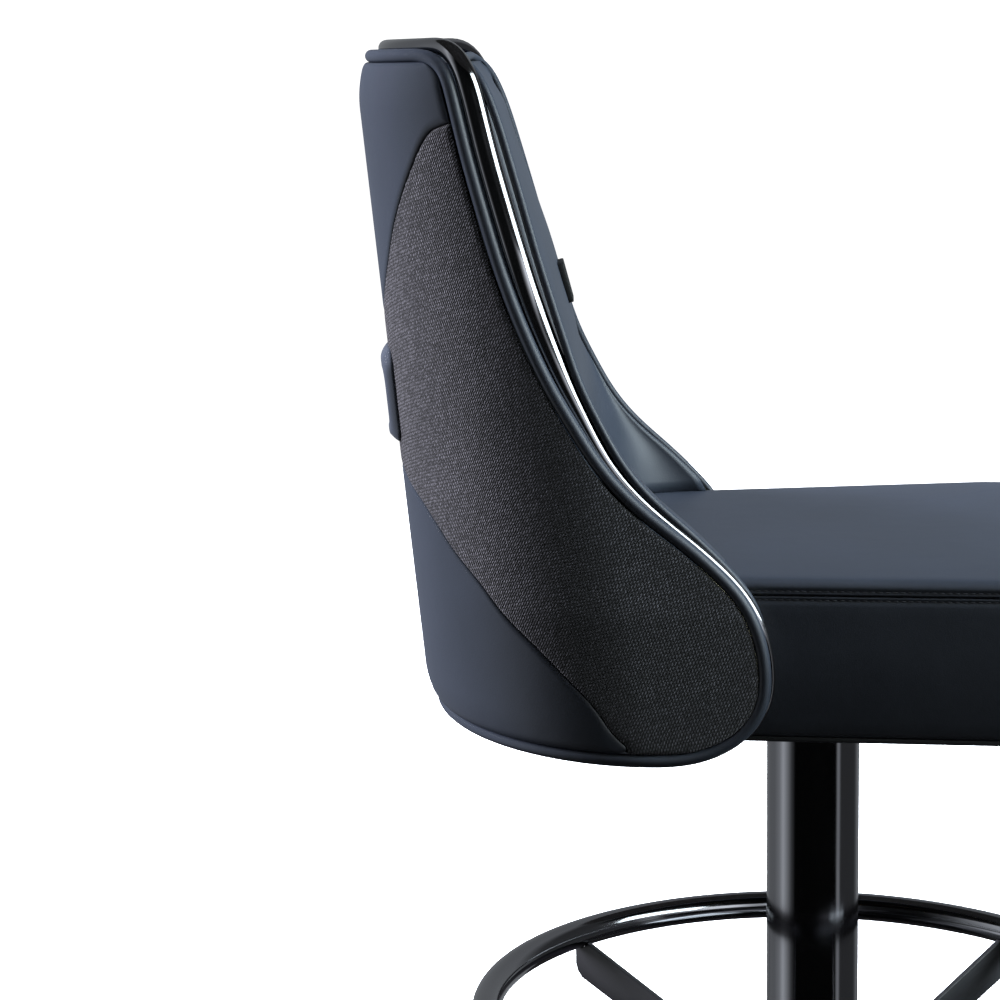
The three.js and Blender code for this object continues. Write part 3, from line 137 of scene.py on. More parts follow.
def grain(tree, shader, scale, depth, detail=4.0, texture="ShaderNodeTexNoise"):
    """Relief of a given grain size in metres and depth in metres, from object coordinates."""
    place = add_node(tree, "ShaderNodeTexCoord").outputs["Object"]
    inputs = {"Vector": place, "Scale": 1.0 / scale}
    if texture == "ShaderNodeTexNoise":
        inputs["Detail"] = detail
    pattern = add_node(tree, texture, inputs)
    height = pattern.outputs[0]
    bump = add_node(tree, "ShaderNodeBump", {"Height": height, "Distance": depth, "Strength": 1.0})
    tree.links.new(bump.outputs[0], shader.inputs["Normal"])
    return place, height, bump


def vary(tree, shader, place, light, dark, size, rough_low, rough_high):
    """Slow change of colour and gloss over a piece, as handling and dye lots give."""
    cloud = add_node(tree, "ShaderNodeTexNoise", {"Vector": place, "Scale": 1.0 / size, "Detail": 3.0})
    # A Mix node lists its colour sockets after its number and vector ones.
    tint = add_node(
        tree, "ShaderNodeMix", {0: cloud.outputs[0], 6: srgb(dark), 7: srgb(light)}, data_type="RGBA")
    tree.links.new(tint.outputs[2], shader.inputs["Base Color"])
    gloss = add_node(tree, "ShaderNodeMapRange", {0: cloud.outputs[0], 3: rough_low, 4: rough_high})
    tree.links.new(gloss.outputs[0], shader.inputs["Roughness"])


def slate_vinyl():
    # PVC-coated upholstery cloth, calendered and embossed: near black with a cool cast, a fine pebble
    # grain of about 0.9 mm, and a soft gloss that comes up white where it is seen edge on.
    material, tree, shader = new_finish("vinyl_slate_embossed", "#1f232b", 0.46)
    place, _, bump = grain(tree, shader, 0.0009, 0.00005, texture="ShaderNodeTexVoronoi")
    soft = add_node(tree, "ShaderNodeTexNoise", {"Vector": place, "Scale": 28.0, "Detail": 2.0})
    rise = add_node(tree, "ShaderNodeBump", {"Height": soft.outputs[0], "Distance": 0.0006, "Strength": 0.5})
    tree.links.new(rise.outputs[0], bump.inputs["Normal"])
    vary(tree, shader, place, "#22262e", "#1b1f26", 0.09, 0.42, 0.5)
    return material


def charcoal_weave():
    # Polyester hopsack, woven from melange yarn: dull, with short floats that lean over the ground. Each float's
    # colour follows its height, pale at the crown and near black at its edges and in the gaps between floats:
    # painted shade in the hollows of the weave. Floats lie 1.8 mm apart and 3.7 mm from end to end, along the
    # piece's own UV map in metres.
    material, tree, shader = new_finish("polyester_hopsack_woven", "#3a3a3d", 0.92,
                                        **{"Sheen Weight": 0.08, "Sheen Roughness": 0.5})
    uv = add_node(tree, "ShaderNodeUVMap", uv_map="UVMap")
    lean, spacing, length = math.radians(57), 0.0018, 0.0037
    wobble = add_node(tree, "ShaderNodeTexNoise", {"Vector": uv.outputs[0], "Scale": 260.0, "Detail": 1.0})
    tone = add_node(tree, "ShaderNodeTexWhiteNoise", noise_dimensions="2D")
    cloud = add_node(tree, "ShaderNodeTexNoise", {"Vector": uv.outputs[0], "Scale": 16.0, "Detail": 2.0})
    axes = {
        "across": (math.sin(lean) / spacing, math.cos(lean) / spacing, 0.0),
        "along": (-math.cos(lean) / length, math.sin(lean) / length, 0.0),
    }
    made = {"wobble": wobble.outputs[0], "cloud": cloud.outputs[0]}
    for name, axis in axes.items():
        dot = add_node(tree, "ShaderNodeVectorMath", {0: uv.outputs[0], 1: axis}, operation="DOT_PRODUCT")
        made[name] = dot.outputs["Value"]
    steps = [
        ("across", "ADD", "across", 1000.0), ("wave", "MULTIPLY", "wobble", 0.7),
        ("across", "ADD", "across", "wave"),
        ("row", "FLOOR", "across"), ("shift", "MULTIPLY", "row", 0.5), ("along", "ADD", "along", "shift"),
        ("along", "ADD", "along", 1000.0), ("along", "ADD", "along", "wave"), ("place", "FLOOR", "along"),
        ("x", "FRACT", "across"), ("x", "MULTIPLY", "x", math.pi), ("x", "SINE", "x"), ("x", "POWER", "x", 1.1),
        ("y", "FRACT", "along"), ("y", "MULTIPLY", "y", math.pi), ("y", "SINE", "y"), ("y", "POWER", "y", 0.5),
        ("float", "MULTIPLY", "x", "y"),
    ]
    for name, operation, first, *second in steps:
        inputs = {k: made.get(value, value) for k, value in enumerate((first, *second))}
        made[name] = add_node(tree, "ShaderNodeMath", inputs, operation=operation).outputs[0]
    cell = add_node(tree, "ShaderNodeCombineXYZ", {0: made["row"], 1: made["place"]})
    tree.links.new(cell.outputs[0], tone.inputs["Vector"])
    shade = add_node(tree, "ShaderNodeMapRange", {0: tone.outputs[0], 3: 0.72, 4: 1.0})
    dusk = add_node(tree, "ShaderNodeMapRange", {0: made["cloud"], 3: 0.85, 4: 1.1})
    lit = add_node(tree, "ShaderNodeMath", {0: made["float"], 1: shade.outputs[0]}, operation="MULTIPLY")
    lit = add_node(tree, "ShaderNodeMath", {0: lit.outputs[0], 1: dusk.outputs[0]}, operation="MULTIPLY")
    # Colour from each float's height times its tone: pale at the crown, near black at the edges and in the gaps,
    # painted shade in the weave's hollows
    ramp = add_node(tree, "ShaderNodeValToRGB", {0: lit.outputs[0]})
    ramp.color_ramp.elements[0].position = 0.16
    ramp.color_ramp.elements[0].color = srgb("#020203")
    ramp.color_ramp.elements[1].position = 0.9
    ramp.color_ramp.elements[1].color = srgb("#515055")
    middle = ramp.color_ramp.elements.new(0.5)
    middle.color = srgb("#0f0e11")
    tree.links.new(ramp.outputs[0], shader.inputs["Base Color"])
    bump = add_node(tree, "ShaderNodeBump", {"Height": made["float"], "Distance": 0.0006, "Strength": 1.0})
    tree.links.new(bump.outputs[0], shader.inputs["Normal"])
    return material


def smoked_chrome():
    # Steel polished, nickel plated and given a black chrome coat: a mirror in dark smoke, with the
    # faint waviness that polishing leaves.
    material, tree, shader = new_finish("black_chrome_polished", "#8c8c90", 0.1, metallic=1.0)
    place, wave, _ = grain(tree, shader, 0.05, 0.00006, detail=1.0)
    gloss = add_node(tree, "ShaderNodeMapRange", {0: wave, 3: 0.08, 4: 0.13})
    tree.links.new(gloss.outputs[0], shader.inputs["Roughness"])
    return material


CLOUD_SIZE, GLOSS_SPREAD = 0.05, 0.06


def plain_finish(name, colour, roughness, metallic, size, depth, light, dark, **extra):
    """A finish of one colour with its own grain and a slow change of colour and gloss."""
    material, tree, shader = new_finish(name, colour, roughness, metallic, **extra)
    place, _, _ = grain(tree, shader, size, depth)
    vary(tree, shader, place, light, dark, CLOUD_SIZE, roughness - GLOSS_SPREAD, roughness + GLOSS_SPREAD)
    return material


def birch_plywood():
    # Birch plywood, peeled and pressed: nine thin plies that show as stripes on the edge, and long
    # soft figure on the face.
    material, tree, shader = new_finish("birch_plywood", "#b9935f", 0.62)
    place = add_node(tree, "ShaderNodeTexCoord")
    stretch = add_node(
        tree, "ShaderNodeMapping", {"Vector": place.outputs["Object"], "Scale": (60.0, 4.0, 700.0)})
    figure = add_node(tree, "ShaderNodeTexNoise", {"Vector": stretch.outputs[0], "Scale": 1.0, "Detail": 5.0})
    ramp = add_node(tree, "ShaderNodeValToRGB", {0: figure.outputs[0]})
    ramp.color_ramp.elements[0].position = 0.35
    ramp.color_ramp.elements[0].color = srgb("#7d5a33")
    ramp.color_ramp.elements[1].position = 0.62
    ramp.color_ramp.elements[1].color = srgb("#c9a673")
    tree.links.new(ramp.outputs[0], shader.inputs["Base Color"])
    bump = add_node(tree, "ShaderNodeBump", {"Height": figure.outputs[0], "Distance": 0.0002, "Strength": 0.6})
    tree.links.new(bump.outputs[0], shader.inputs["Normal"])
    return material


VINYL = slate_vinyl()
WEAVE = charcoal_weave()
CHROME = smoked_chrome()
# Mild steel, cut and powder coated: satin black with a fine orange peel.
POWDER = plain_finish("steel_powder_coated", "#1b1b1d", 0.42, 0.0, 0.0012, 0.00004, "#202022", "#161618")
# Steel screws and races, zinc plated: pale grey with a clouded gloss.
ZINC = plain_finish("steel_zinc_plated", "#a9aba9", 0.34, 1.0, 0.004, 0.00002, "#b6b7b3", "#93958f")
# Sintered bronze, pressed and oil filled: warm, finely pitted.
BRONZE = plain_finish("bronze_sintered", "#8f6b3c", 0.42, 1.0, 0.0006, 0.00005, "#9c7746", "#7b5a30")
# Grey iron, sand cast: rough dark skin.
IRON = plain_finish("iron_sand_cast", "#39393b", 0.75, 0.4, 0.0025, 0.0003, "#444447", "#2c2c2e")
# SBR rubber, moulded: matt black.
RUBBER = plain_finish("rubber_moulded", "#111112", 0.85, 0.0, 0.0015, 0.0001, "#161617", "#0d0d0e")
# ABS, injection moulded on a spark-eroded tool: fine even texture.
ABS = plain_finish("abs_moulded", "#0b0c0d", 0.55, 0.0, 0.0006, 0.00006, "#0e0f10", "#09090a",
                   **{"Specular IOR Level": 0.25})
# The handle's ABS, moulded and buffed: smoother than the black mouldings, and paler, partly slate and partly
# painted light that stands in for the light falling on the handle.
LIT_SLATE_ABS = plain_finish("abs_slate_painted_light", "#2b2f37", 0.4, 0.0, 0.0006, 0.00004, "#2f333c", "#272b32")
# Polyurethane foam, poured and cut: open cells, cream turning yellow.
FOAM = plain_finish("polyurethane_foam", "#d6cba6", 0.95, 0.0, 0.002, 0.0005, "#ded4b2", "#c8bb92")
# Bonded nylon thread, twisted: a little paler than the vinyl, with a soft gloss.
THREAD = plain_finish("nylon_thread_bonded", "#1d1f24", 0.55, 0.0, 0.0008, 0.0001, "#23252b", "#17191d")
PLYWOOD = birch_plywood()

FINISHES = {
    "slate_vinyl": VINYL, "charcoal_weave": WEAVE, "smoked_chrome": CHROME, "black_steel": POWDER,
    "zinc_steel": ZINC, "bronze": BRONZE, "cast_iron": IRON, "black_rubber": RUBBER,
    "black_plastic": ABS, "plywood": PLYWOOD, "foam": FOAM,
}


# ---- Making meshes


def finish_piece(obj, body, slot, *nodes, material=None, fill=None):
    """The piece takes its finish, rides on its body and stands for its CAD nodes."""
    obj.data.materials.clear()
    obj.data.materials.append(material or FINISHES[slot])
    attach(obj, body)
    if nodes:
        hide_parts(*nodes)
    return obj


def new_object(name, points, edges, faces, unit=MM):
    """Linked object with a mesh from points in millimetres, or in metres with a unit of 1."""
    mesh = bpy.data.meshes.new(name)
    mesh.from_pydata([tuple(value * unit for value in point) for point in points], edges, faces)
    obj = bpy.data.objects.new(name, mesh)
    bpy.context.collection.objects.link(obj)
    return obj


def mesh_piece(name, points, faces, uvs=None):
    """Smooth piece from points in millimetres; the faces of a closed mesh are turned outwards."""
    obj = new_object(name, points, [], faces)
    if uvs is not None:
        layer = obj.data.uv_layers.new(name="UVMap")
        for loop in obj.data.loops:
            layer.data[loop.index].uv = uvs[loop.vertex_index]
    shape = bmesh.new()
    shape.from_mesh(obj.data)
    bmesh.ops.remove_doubles(shape, verts=shape.verts, dist=1e-6)
    bmesh.ops.recalc_face_normals(shape, faces=shape.faces)
    for face in shape.faces:
        face.smooth = True
    shape.to_mesh(obj.data)
    shape.free()
    return obj


def grid_faces(lines, count, wrap_lines=False, wrap_points=False):
    """Four-sided faces between neighbouring lines of equal point counts."""
    faces = []
    for i in range(lines if wrap_lines else lines - 1):
        here, after = i * count, (i + 1) % lines * count
        for j in range(count if wrap_points else count - 1):
            k = (j + 1) % count
            faces.append((here + j, here + k, after + k, after + j))
    return faces


def loft_piece(name, rings, closed_path=False, ends="fan"):
    """Closed skin through rings of equal point counts, its ends a face or a fan unless they meet."""
    count, last = len(rings[0]), (len(rings) - 1) * len(rings[0])
    points = [tuple(point) for ring in rings for point in ring]
    faces = grid_faces(len(rings), count, wrap_lines=closed_path, wrap_points=True)
    if not closed_path:
        for first, ring in ((0, rings[0]), (last, rings[-1])):
            if ends == "face":
                faces.append(tuple(range(first, first + count)))
                continue
            hub = len(points)
            points.append(tuple(sum(p[axis] for p in ring) / count for axis in range(3)))
            faces += [(first + j, first + (j + 1) % count, hub) for j in range(count)]
    return mesh_piece(name, points, faces)


def turned_piece(name, outline, steps=128):
    """Piece turned round the column axis from a closed outline of (radius, height) points."""
    rings = []
    for i in range(steps):
        turn = 2 * math.pi * i / steps
        rings.append([(r * math.cos(turn), r * math.sin(turn), z) for r, z in outline])
    return loft_piece(name, rings, closed_path=True)


SHARP_EDGE = math.radians(30)


def soften(obj, width, segments=2):
    """Rounded edges: a Bevel on every sharp edge, with smooth faces between."""
    bevel = obj.modifiers.new("edges", "BEVEL")
    bevel.width = width * MM
    bevel.segments = segments
    bevel.limit_method = "ANGLE"
    bevel.angle_limit = SHARP_EDGE
    bevel.harden_normals = True
    bevel.use_clamp_overlap = True
    for face in obj.data.polygons:
        face.use_smooth = True
    return obj


def softened_copy(name, node, width, segments=2):
    """Copy of a CAD node with merged points, whole faces and rounded edges."""
    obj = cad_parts[node].copy()
    obj.data = obj.data.copy()
    for key in list(obj.keys()):
        del obj[key]
    obj.parent = None
    obj.matrix_world = Matrix.Identity(4)
    obj.name = name
    bpy.context.collection.objects.link(obj)
    shape = bmesh.new()
    shape.from_mesh(obj.data)
    bmesh.ops.remove_doubles(shape, verts=shape.verts, dist=1e-6)
    bmesh.ops.dissolve_limit(shape, angle_limit=math.radians(1), verts=shape.verts, edges=shape.edges)
    shape.to_mesh(obj.data)
    shape.free()
    return soften(obj, width, segments)


def baked(obj):
    """The result of a piece's modifiers as its plain mesh."""
    bpy.context.view_layer.update()
    graph = bpy.context.evaluated_depsgraph_get()
    mesh = bpy.data.meshes.new_from_object(obj.evaluated_get(graph), depsgraph=graph)
    obj.modifiers.clear()
    obj.data = mesh
    return obj


# ---- The back's outer surface

BACK_FOOT, BACK_RISE = 511.0, 517.0
BACK_TOP = BACK_FOOT + BACK_RISE
WING_FRONT, WING_REACH = 56.0, 300.0
WELT_RADIUS, WELT_SINK = 5.0, 4.0
WELT_INSET = 5.4
SKIN, WALL_SHARE = 3.0, 0.55
SHELL_BACK = 11.0
PLAN_STEPS = 160
# Plan of the back, at its foot and at its top, and how its rear tucks in where foot and top are rounded
HALF_WIDTHS, CURVE_CENTRES, REAR_DEPTHS = (236.0, 188.0), (135.0, 225.0), (315.0, 365.0)
FOOT_ROUND, FOOT_TUCK, TOP_ROUND, TOP_TUCK = 30, 8, 43, 10
SEAT_HALF, SEAT_FLARE, SEAT_FRONT, SEAT_REAR = 214, 0.121, -235, 214


def rise_share(height):
    return (height - BACK_FOOT) / BACK_RISE


plans = {}


def plan_at(height):
    """Outer plan of the upholstery at a height: half ellipse at the rear, straight wings in front."""
    key = round(height, 3)
    if key in plans:
        return plans[key]
    share = rise_share(height)
    taper = clamp01((share - 0.21) / 0.79)
    half = lerp(*HALF_WIDTHS, taper)
    centre = lerp(*CURVE_CENTRES, share)
    foot = clamp01((BACK_FOOT + FOOT_ROUND - height) / FOOT_ROUND)
    top = clamp01((height - BACK_TOP + TOP_ROUND) / TOP_ROUND)
    rear = lerp(*REAR_DEPTHS, share) - FOOT_TUCK * foot ** 2 - TOP_TUCK * top ** 2
    line = [(0.0, rear)]
    for i in range(1, PLAN_STEPS + 1):
        turn = math.pi / 2 * i / PLAN_STEPS
        line.append((half * math.sin(turn), centre + (rear - centre) * math.cos(turn)))
    line.append((half, -WING_FRONT))
    runs = [0.0]
    for (x0, y0), (x1, y1) in zip(line, line[1:]):
        runs.append(runs[-1] + math.hypot(x1 - x0, y1 - y0))
    plans[key] = (centre, line, runs, [-y for _, y in line])
    return plans[key]


def span_of(rising, value):
    """Index of the span of a rising list that holds a value."""
    return min(max(bisect_left(rising, value) - 1, 0), len(rising) - 2)


def run_at_depth(height, y):
    """Distance round the plan from the middle line to a depth."""
    _, line, runs, forward = plan_at(height)
    i = span_of(forward, -y)
    (_, y0), (_, y1) = line[i:i + 2]
    return lerp(runs[i], runs[i + 1], clamp01((y0 - y) / max(y0 - y1, 1e-9)))


def plan_point(height, run):
    """Point of the plan at a distance from the middle line, on the side of the run's sign."""
    _, line, runs, _ = plan_at(height)
    i = span_of(runs, abs(run))
    (x0, y0), (x1, y1) = line[i:i + 2]
    part = (abs(run) - runs[i]) / (runs[i + 1] - runs[i])
    side = -1.0 if run < 0 else 1.0
    return Vector((side * lerp(x0, x1, part), lerp(y0, y1, part), height))


PROBE = 5.0


def outer_normal(height, run, level=False):
    along = plan_point(height, run + PROBE) - plan_point(height, run - PROBE)
    if level:
        normal = Vector((along.y, -along.x, 0.0)).normalized()
    else:
        share = run / run_at_depth(height, WING_FRONT)
        low, high = max(height - PROBE, BACK_FOOT), min(height + PROBE, BACK_TOP)
        upward = plan_point(high, share * run_at_depth(high, WING_FRONT)) - plan_point(
            low, share * run_at_depth(low, WING_FRONT))
        normal = along.cross(upward).normalized()
    point = plan_point(height, run)
    if normal.x * point.x + normal.y * (point.y - plan_at(height)[0]) < 0:
        normal.negate()
    return normal


def back_point(height, run, depth=0.0):
    """Point of the outer surface moved in by a depth, square to it."""
    return plan_point(height, run) - depth * outer_normal(height, run)


def level_point(height, run, depth):
    return plan_point(height, run) - depth * outer_normal(height, run, level=True)


# Rim of the back in side view: rounded foot, swept wing front and top corner, as (depth, height)
RIM_SHARES = [
    (0.118, 0), (0.172, 0.013), (0.234, 0.06), (0.3, 0.173), (0.362, 0.307), (0.42, 0.4), (0.485, 0.473),
    (0.544, 0.533), (0.625, 0.597), (0.702, 0.646), (0.781, 0.687), (0.853, 0.722), (0.923, 0.751),
    (0.955, 0.765),
]


def spline(points, steps):
    """Smooth line through points of any size, with a number of steps for each span."""
    line = []
    for i in range(len(points) - 1):
        p0, p1, p2, p3 = (points[min(max(k, 0), len(points) - 1)] for k in (i - 1, i, i + 1, i + 2))
        for j in range(steps):
            t = j / steps
            line.append(tuple(
                0.5 * (2 * b + (c - a) * t + (2 * a - 5 * b + 4 * c - d) * t * t
                       + (3 * b - a - 3 * c + d) * t ** 3)
                for a, b, c, d in zip(p0, p1, p2, p3)))
    line.append(tuple(points[-1]))
    return line


FOOT_ARC_DEPTH, FOOT_ARC_HEIGHT, TOP_ARC_DEPTH = 72, 54, 22


def mirrored(points):
    """The points of one side as those of the other, in turned order."""
    return [Vector((-p.x, p.y, p.z)) for p in reversed(points)]


def rim_line():
    points = []
    for i in range(14):
        turn = math.pi / 2 * (1 - i / 14)
        points.append((
            WING_FRONT + FOOT_ARC_DEPTH * (1 - math.cos(turn)),
            BACK_FOOT + FOOT_ARC_HEIGHT - FOOT_ARC_HEIGHT * math.sin(turn)))
    swept = [(WING_FRONT + reach * WING_REACH, BACK_FOOT + rise * BACK_RISE) for rise, reach in RIM_SHARES]
    points += spline(swept, 6)
    depth, height = points[-1]
    for i in range(1, 11):
        turn = math.pi / 2 * i / 10
        points.append((
            depth + TOP_ARC_DEPTH * (1 - math.cos(turn)), height + (BACK_TOP - height) * math.sin(turn)))
    return points


RIM = rim_line()
RIM_NORMALS = []
for index in range(len(RIM)):
    (y0, z0), (y1, z1) = RIM[max(index - 1, 0)], RIM[min(index + 1, len(RIM) - 1)]
    length = math.hypot(y1 - y0, z1 - z0)
    RIM_NORMALS.append((-(z1 - z0) / length, (y1 - y0) / length))
RIM_NORMALS[0], RIM_NORMALS[-1] = (0.0, -1.0), (0.0, 1.0)
moved_rims = {}


def rim_depth(height, outwards=0.0):
    """Depth of the rim at a height, for a rim moved outwards by a distance."""
    if outwards not in moved_rims:
        moved_rims[outwards] = [
            (z + nz * outwards, y + ny * outwards) for (y, z), (ny, nz) in zip(RIM, RIM_NORMALS)]
    return table_at(moved_rims[outwards], height)


# ---- Rear upholstery

UPPER_SEAM = [
    (0, 0.594), (0.09, 0.606), (0.18, 0.631), (0.37, 0.694), (0.51, 0.754), (0.66, 0.812), (0.75, 0.845),
    (0.83, 0.874), (0.9, 0.892), (1, 0.903),
]
LOWER_SEAM = [
    (0, 0.377), (0.12, 0.372), (0.23, 0.356), (0.33, 0.335), (0.39, 0.308), (0.43, 0.28), (0.49, 0.24),
    (0.53, 0.203), (0.6, 0.155), (0.67, 0.103), (0.77, 0.039), (0.86, 0.0135),
]
SKIN_FOOT, SKIN_TOP = BACK_FOOT + WELT_INSET, BACK_TOP - WELT_INSET


def upper_seam(across):
    return BACK_FOOT + BACK_RISE * curve_at(UPPER_SEAM, abs(across))


def lower_seam(across):
    return max(SKIN_FOOT, BACK_FOOT + BACK_RISE * curve_at(LOWER_SEAM, abs(across)))


def rear_panel(name, columns, rows, low_at, high_at, reach=1.0, edge_sink=2.4, edge_width=7.0, side_seam=True):
    """Padded skin between two height lines: its edges sink into the seams. Its wall is thinner than the
    CAD's skin, because only the outside shows."""
    points, uvs = [], []
    for i in range(columns + 1):
        bent = 2 * i / columns - 1
        across = reach * math.copysign(1 - (1 - abs(bent)) ** 1.35, bent)
        low, high = low_at(across), high_at(across)
        for j in range(rows + 1):
            up = j / rows
            up = lerp(up, smooth(up), 0.6)
            height = lerp(low, high, up)
            whole = run_at_depth(height, rim_depth(height, -WELT_INSET))
            run = across * whole
            near = min(height - low, high - height, (whole - abs(run)) if side_seam else edge_width)
            sink = edge_sink * (1 - math.sqrt(1 - (1 - clamp01(near / edge_width)) ** 2))
            points.append(back_point(height, run, sink))
            uvs.append((run * MM, height * MM))
    obj = mesh_piece(name, points, grid_faces(columns + 1, rows + 1), uvs=uvs)
    middle = obj.data.polygons[len(obj.data.polygons) // 2]
    if middle.normal.y < 0:
        obj.data.flip_normals()
    wall = obj.modifiers.new("wall", "SOLIDIFY")
    wall.thickness = SKIN * MM * WALL_SHARE
    wall.offset = -1
    wall.use_even_offset = True
    return obj


rear_top = rear_panel(
    "rear_top_skin", 120, 64, lambda a: upper_seam(a) + 0.2, lambda a: SKIN_TOP)
rear_fabric = rear_panel(
    "rear_fabric_skin", 150, 110,
    lambda a: SKIN_FOOT if abs(a) > 0.88 else max(lower_seam(a), SKIN_FOOT + 0.8) + 0.2,
    lambda a: upper_seam(a) - 0.2, edge_sink=1.9, edge_width=5.0)
rear_bottom = rear_panel(
    "rear_bottom_skin", 110, 56, lambda a: SKIN_FOOT, lambda a: max(lower_seam(a) - 0.2, SKIN_FOOT + 0.4),
    reach=0.88, side_seam=False)


# ---- Recessed pull handle

# Half sizes of the mouth, past its rounding
HANDLE_HEIGHT, MOUTH_WIDTH, MOUTH_HEIGHT, MOUTH_RADIUS = 759.0, 48.4, 24.4, 2.6


def rounded_rectangle(half_width, half_height, corner, steps=8, side_steps=10):
    """Rounded rectangle with points along its sides too, so that it can follow a curved face."""
    arcs = []
    for quarter, (sx, sy) in enumerate(((1, 1), (-1, 1), (-1, -1), (1, -1))):
        arcs.append([])
        for i in range(steps + 1):
            turn = math.pi / 2 * (quarter + i / steps)
            arcs[-1].append((
                sx * (half_width - corner) + corner * math.cos(turn),
                sy * (half_height - corner) + corner * math.sin(turn)))
    line = []
    for arc, after in zip(arcs, arcs[1:] + arcs[:1]):
        (x0, y0), (x1, y1) = arc[-1], after[0]
        line += arc
        line += [(lerp(x0, x1, k / side_steps), lerp(y0, y1, k / side_steps)) for k in range(1, side_steps)]
    return line


def handle_ring(half_width, half_height, depth):
    """Rounded frame at a depth, its lower edge drawn up as it widens past the mouth."""
    low = 1 - 0.14 * clamp01((half_height - MOUTH_HEIGHT) / 10)
    outline = rounded_rectangle(half_width, half_height, corner=14.0)
    return [back_point(HANDLE_HEIGHT + (z if z > 0 else z * low), x, depth) for x, z in outline]


def handle_rings():
    """Pocket floor and walls, rounded mouth, flat frame, rounded outer shoulder, and the hidden back."""
    rings = [handle_ring(*size) for size in ((40, 16, 22), (42, 18, 21.4), (43.4, 19.4, 19), (45.6, 21.6, 0))]
    for i in range(6):
        turn = math.pi / 2 * i / 5
        grow = MOUTH_RADIUS * (1 - math.cos(turn))
        rings.append(handle_ring(
            MOUTH_WIDTH - MOUTH_RADIUS + grow, MOUTH_HEIGHT - MOUTH_RADIUS + grow, -3.6 - 3.4 * math.sin(turn)))
    for i in range(8):
        out = i / 7
        rings.append(handle_ring(49.5 + 10.5 * out, 29.5 + 10.5 * out, -7 + 6.2 * out * out))
    hidden = ((60, 40, 1.2), (MOUTH_WIDTH, MOUTH_HEIGHT, 1.2), (44.4, 20.4, 24.4))
    return rings + [handle_ring(*size) for size in hidden]


handle = loft_piece("pull_handle_moulding", handle_rings())


# ---- Welt, trim and front roll along the rim


def resampled(points, step):
    """Points at even steps along a line."""
    runs = [0.0]
    for a, b in zip(points, points[1:]):
        runs.append(runs[-1] + (b - a).length)
    count = max(round(runs[-1] / step), 2)
    line, i = [], 0
    for k in range(count + 1):
        run = runs[-1] * k / count
        while i < len(runs) - 2 and runs[i + 1] < run:
            i += 1
        part = clamp01((run - runs[i]) / max(runs[i + 1] - runs[i], 1e-9))
        line.append(points[i].lerp(points[i + 1], part))
    return line


def relaxed(points, rounds):
    """The line with its kinks eased; its ends stay."""
    for _ in range(rounds):
        eased = [p.copy() for p in points]
        for i in range(1, len(points) - 1):
            eased[i] = (points[i - 1] + 2 * points[i] + points[i + 1]) / 4
        points = eased
    return points


def edge_line():
    right = [back_point(z, -run_at_depth(z, y), WELT_SINK) for y, z in RIM]
    top_run = run_at_depth(BACK_TOP, RIM[-1][0])
    top = [back_point(BACK_TOP, lerp(-top_run, top_run, i / 60), WELT_SINK) for i in range(1, 60)]
    return relaxed(resampled(right + top + mirrored(right), 5.0), 6)


EDGE = edge_line()
STACK_TURN = [
    (0.02, 0.8), (0.12, 0.8), (0.2, 0.84), (0.27, 0.88), (0.305, 0.87), (0.335, 0.81), (0.37, 0.71),
    (0.443, 0.56), (0.56, 0.25), (0.636, 0.16), (0.71, 0),
]
TRIM_WIDTH = [
    (0.25, 0.47), (0.305, 0.56), (0.365, 0.67), (0.443, 0.79), (0.56, 0.93), (0.636, 1), (0.93, 1), (1, 0.8),
]
ROLL_FORWARD = [
    (0.02, 0), (0.1, 0.1), (0.172, 0.15), (0.219, 0.25), (0.25, 0.28), (0.284, 0.34), (0.307, 0.4),
    (0.344, 0.52), (0.385, 0.56), (0.431, 0.6), (0.478, 0.66), (0.54, 0.76), (0.6, 0.91), (0.68, 1.01),
    (0.8, 1.04), (0.888, 1), (0.927, 0.93), (0.965, 0.83), (1, 0.75),
]
ROLL_INWARD = [(0.172, 1), (0.25, 0.75), (0.305, 0.6), (0.365, 0.45), (0.443, 0.3), (0.56, 0.15), (0.636, 0.1)]
ROLL_SIZE = [(0.172, 0.85), (0.365, 0.95), (0.636, 1)]
FORWARDS = Vector((0, -1, 0))
ROLL_REACH, ROLL_INSET, ROLL_RADIUS, ROLL_DROP = 28.5, 20.0, 3.4, 2.0
TRIM_HALF, TRIM_THICKNESS, TRIM_SINK, TOP_LIFT = 8.8, 13.0, 1.0, 7.5

FRONT_DEPTH = [
    (0.2, 1.09), (0.269, 1.054), (0.327, 1.022), (0.385, 1), (0.443, 1), (0.501, 1.016), (0.559, 1.043),
    (0.619, 1.082), (0.65, 1.108), (0.712, 1.158), (0.774, 1.217), (0.836, 1.276), (0.888, 1.325),
    (0.927, 1.362), (0.965, 1.45), (0.985, 1.507), (1, 1.56),
]
FRONT_REACH, FRONT_BULGE = 184.0, 2.0


def front_depth(height):
    """Depth of the cushion's front face on the middle line."""
    return FRONT_REACH * curve_at(FRONT_DEPTH, rise_share(height)) - FRONT_BULGE


def roll_depth(height):
    return rim_depth(height) - ROLL_REACH * curve_at(ROLL_FORWARD, rise_share(height))


CUSHION_TOP_START = BACK_TOP - ROLL_RADIUS - 2 * ROLL_DROP
TOP_FRONT = front_depth(CUSHION_TOP_START) + ROLL_RADIUS / 2


def top_part(rise):
    return clamp01((rise * BACK_RISE - (BACK_RISE - TOP_ROUND)) / TOP_ROUND) ** 2


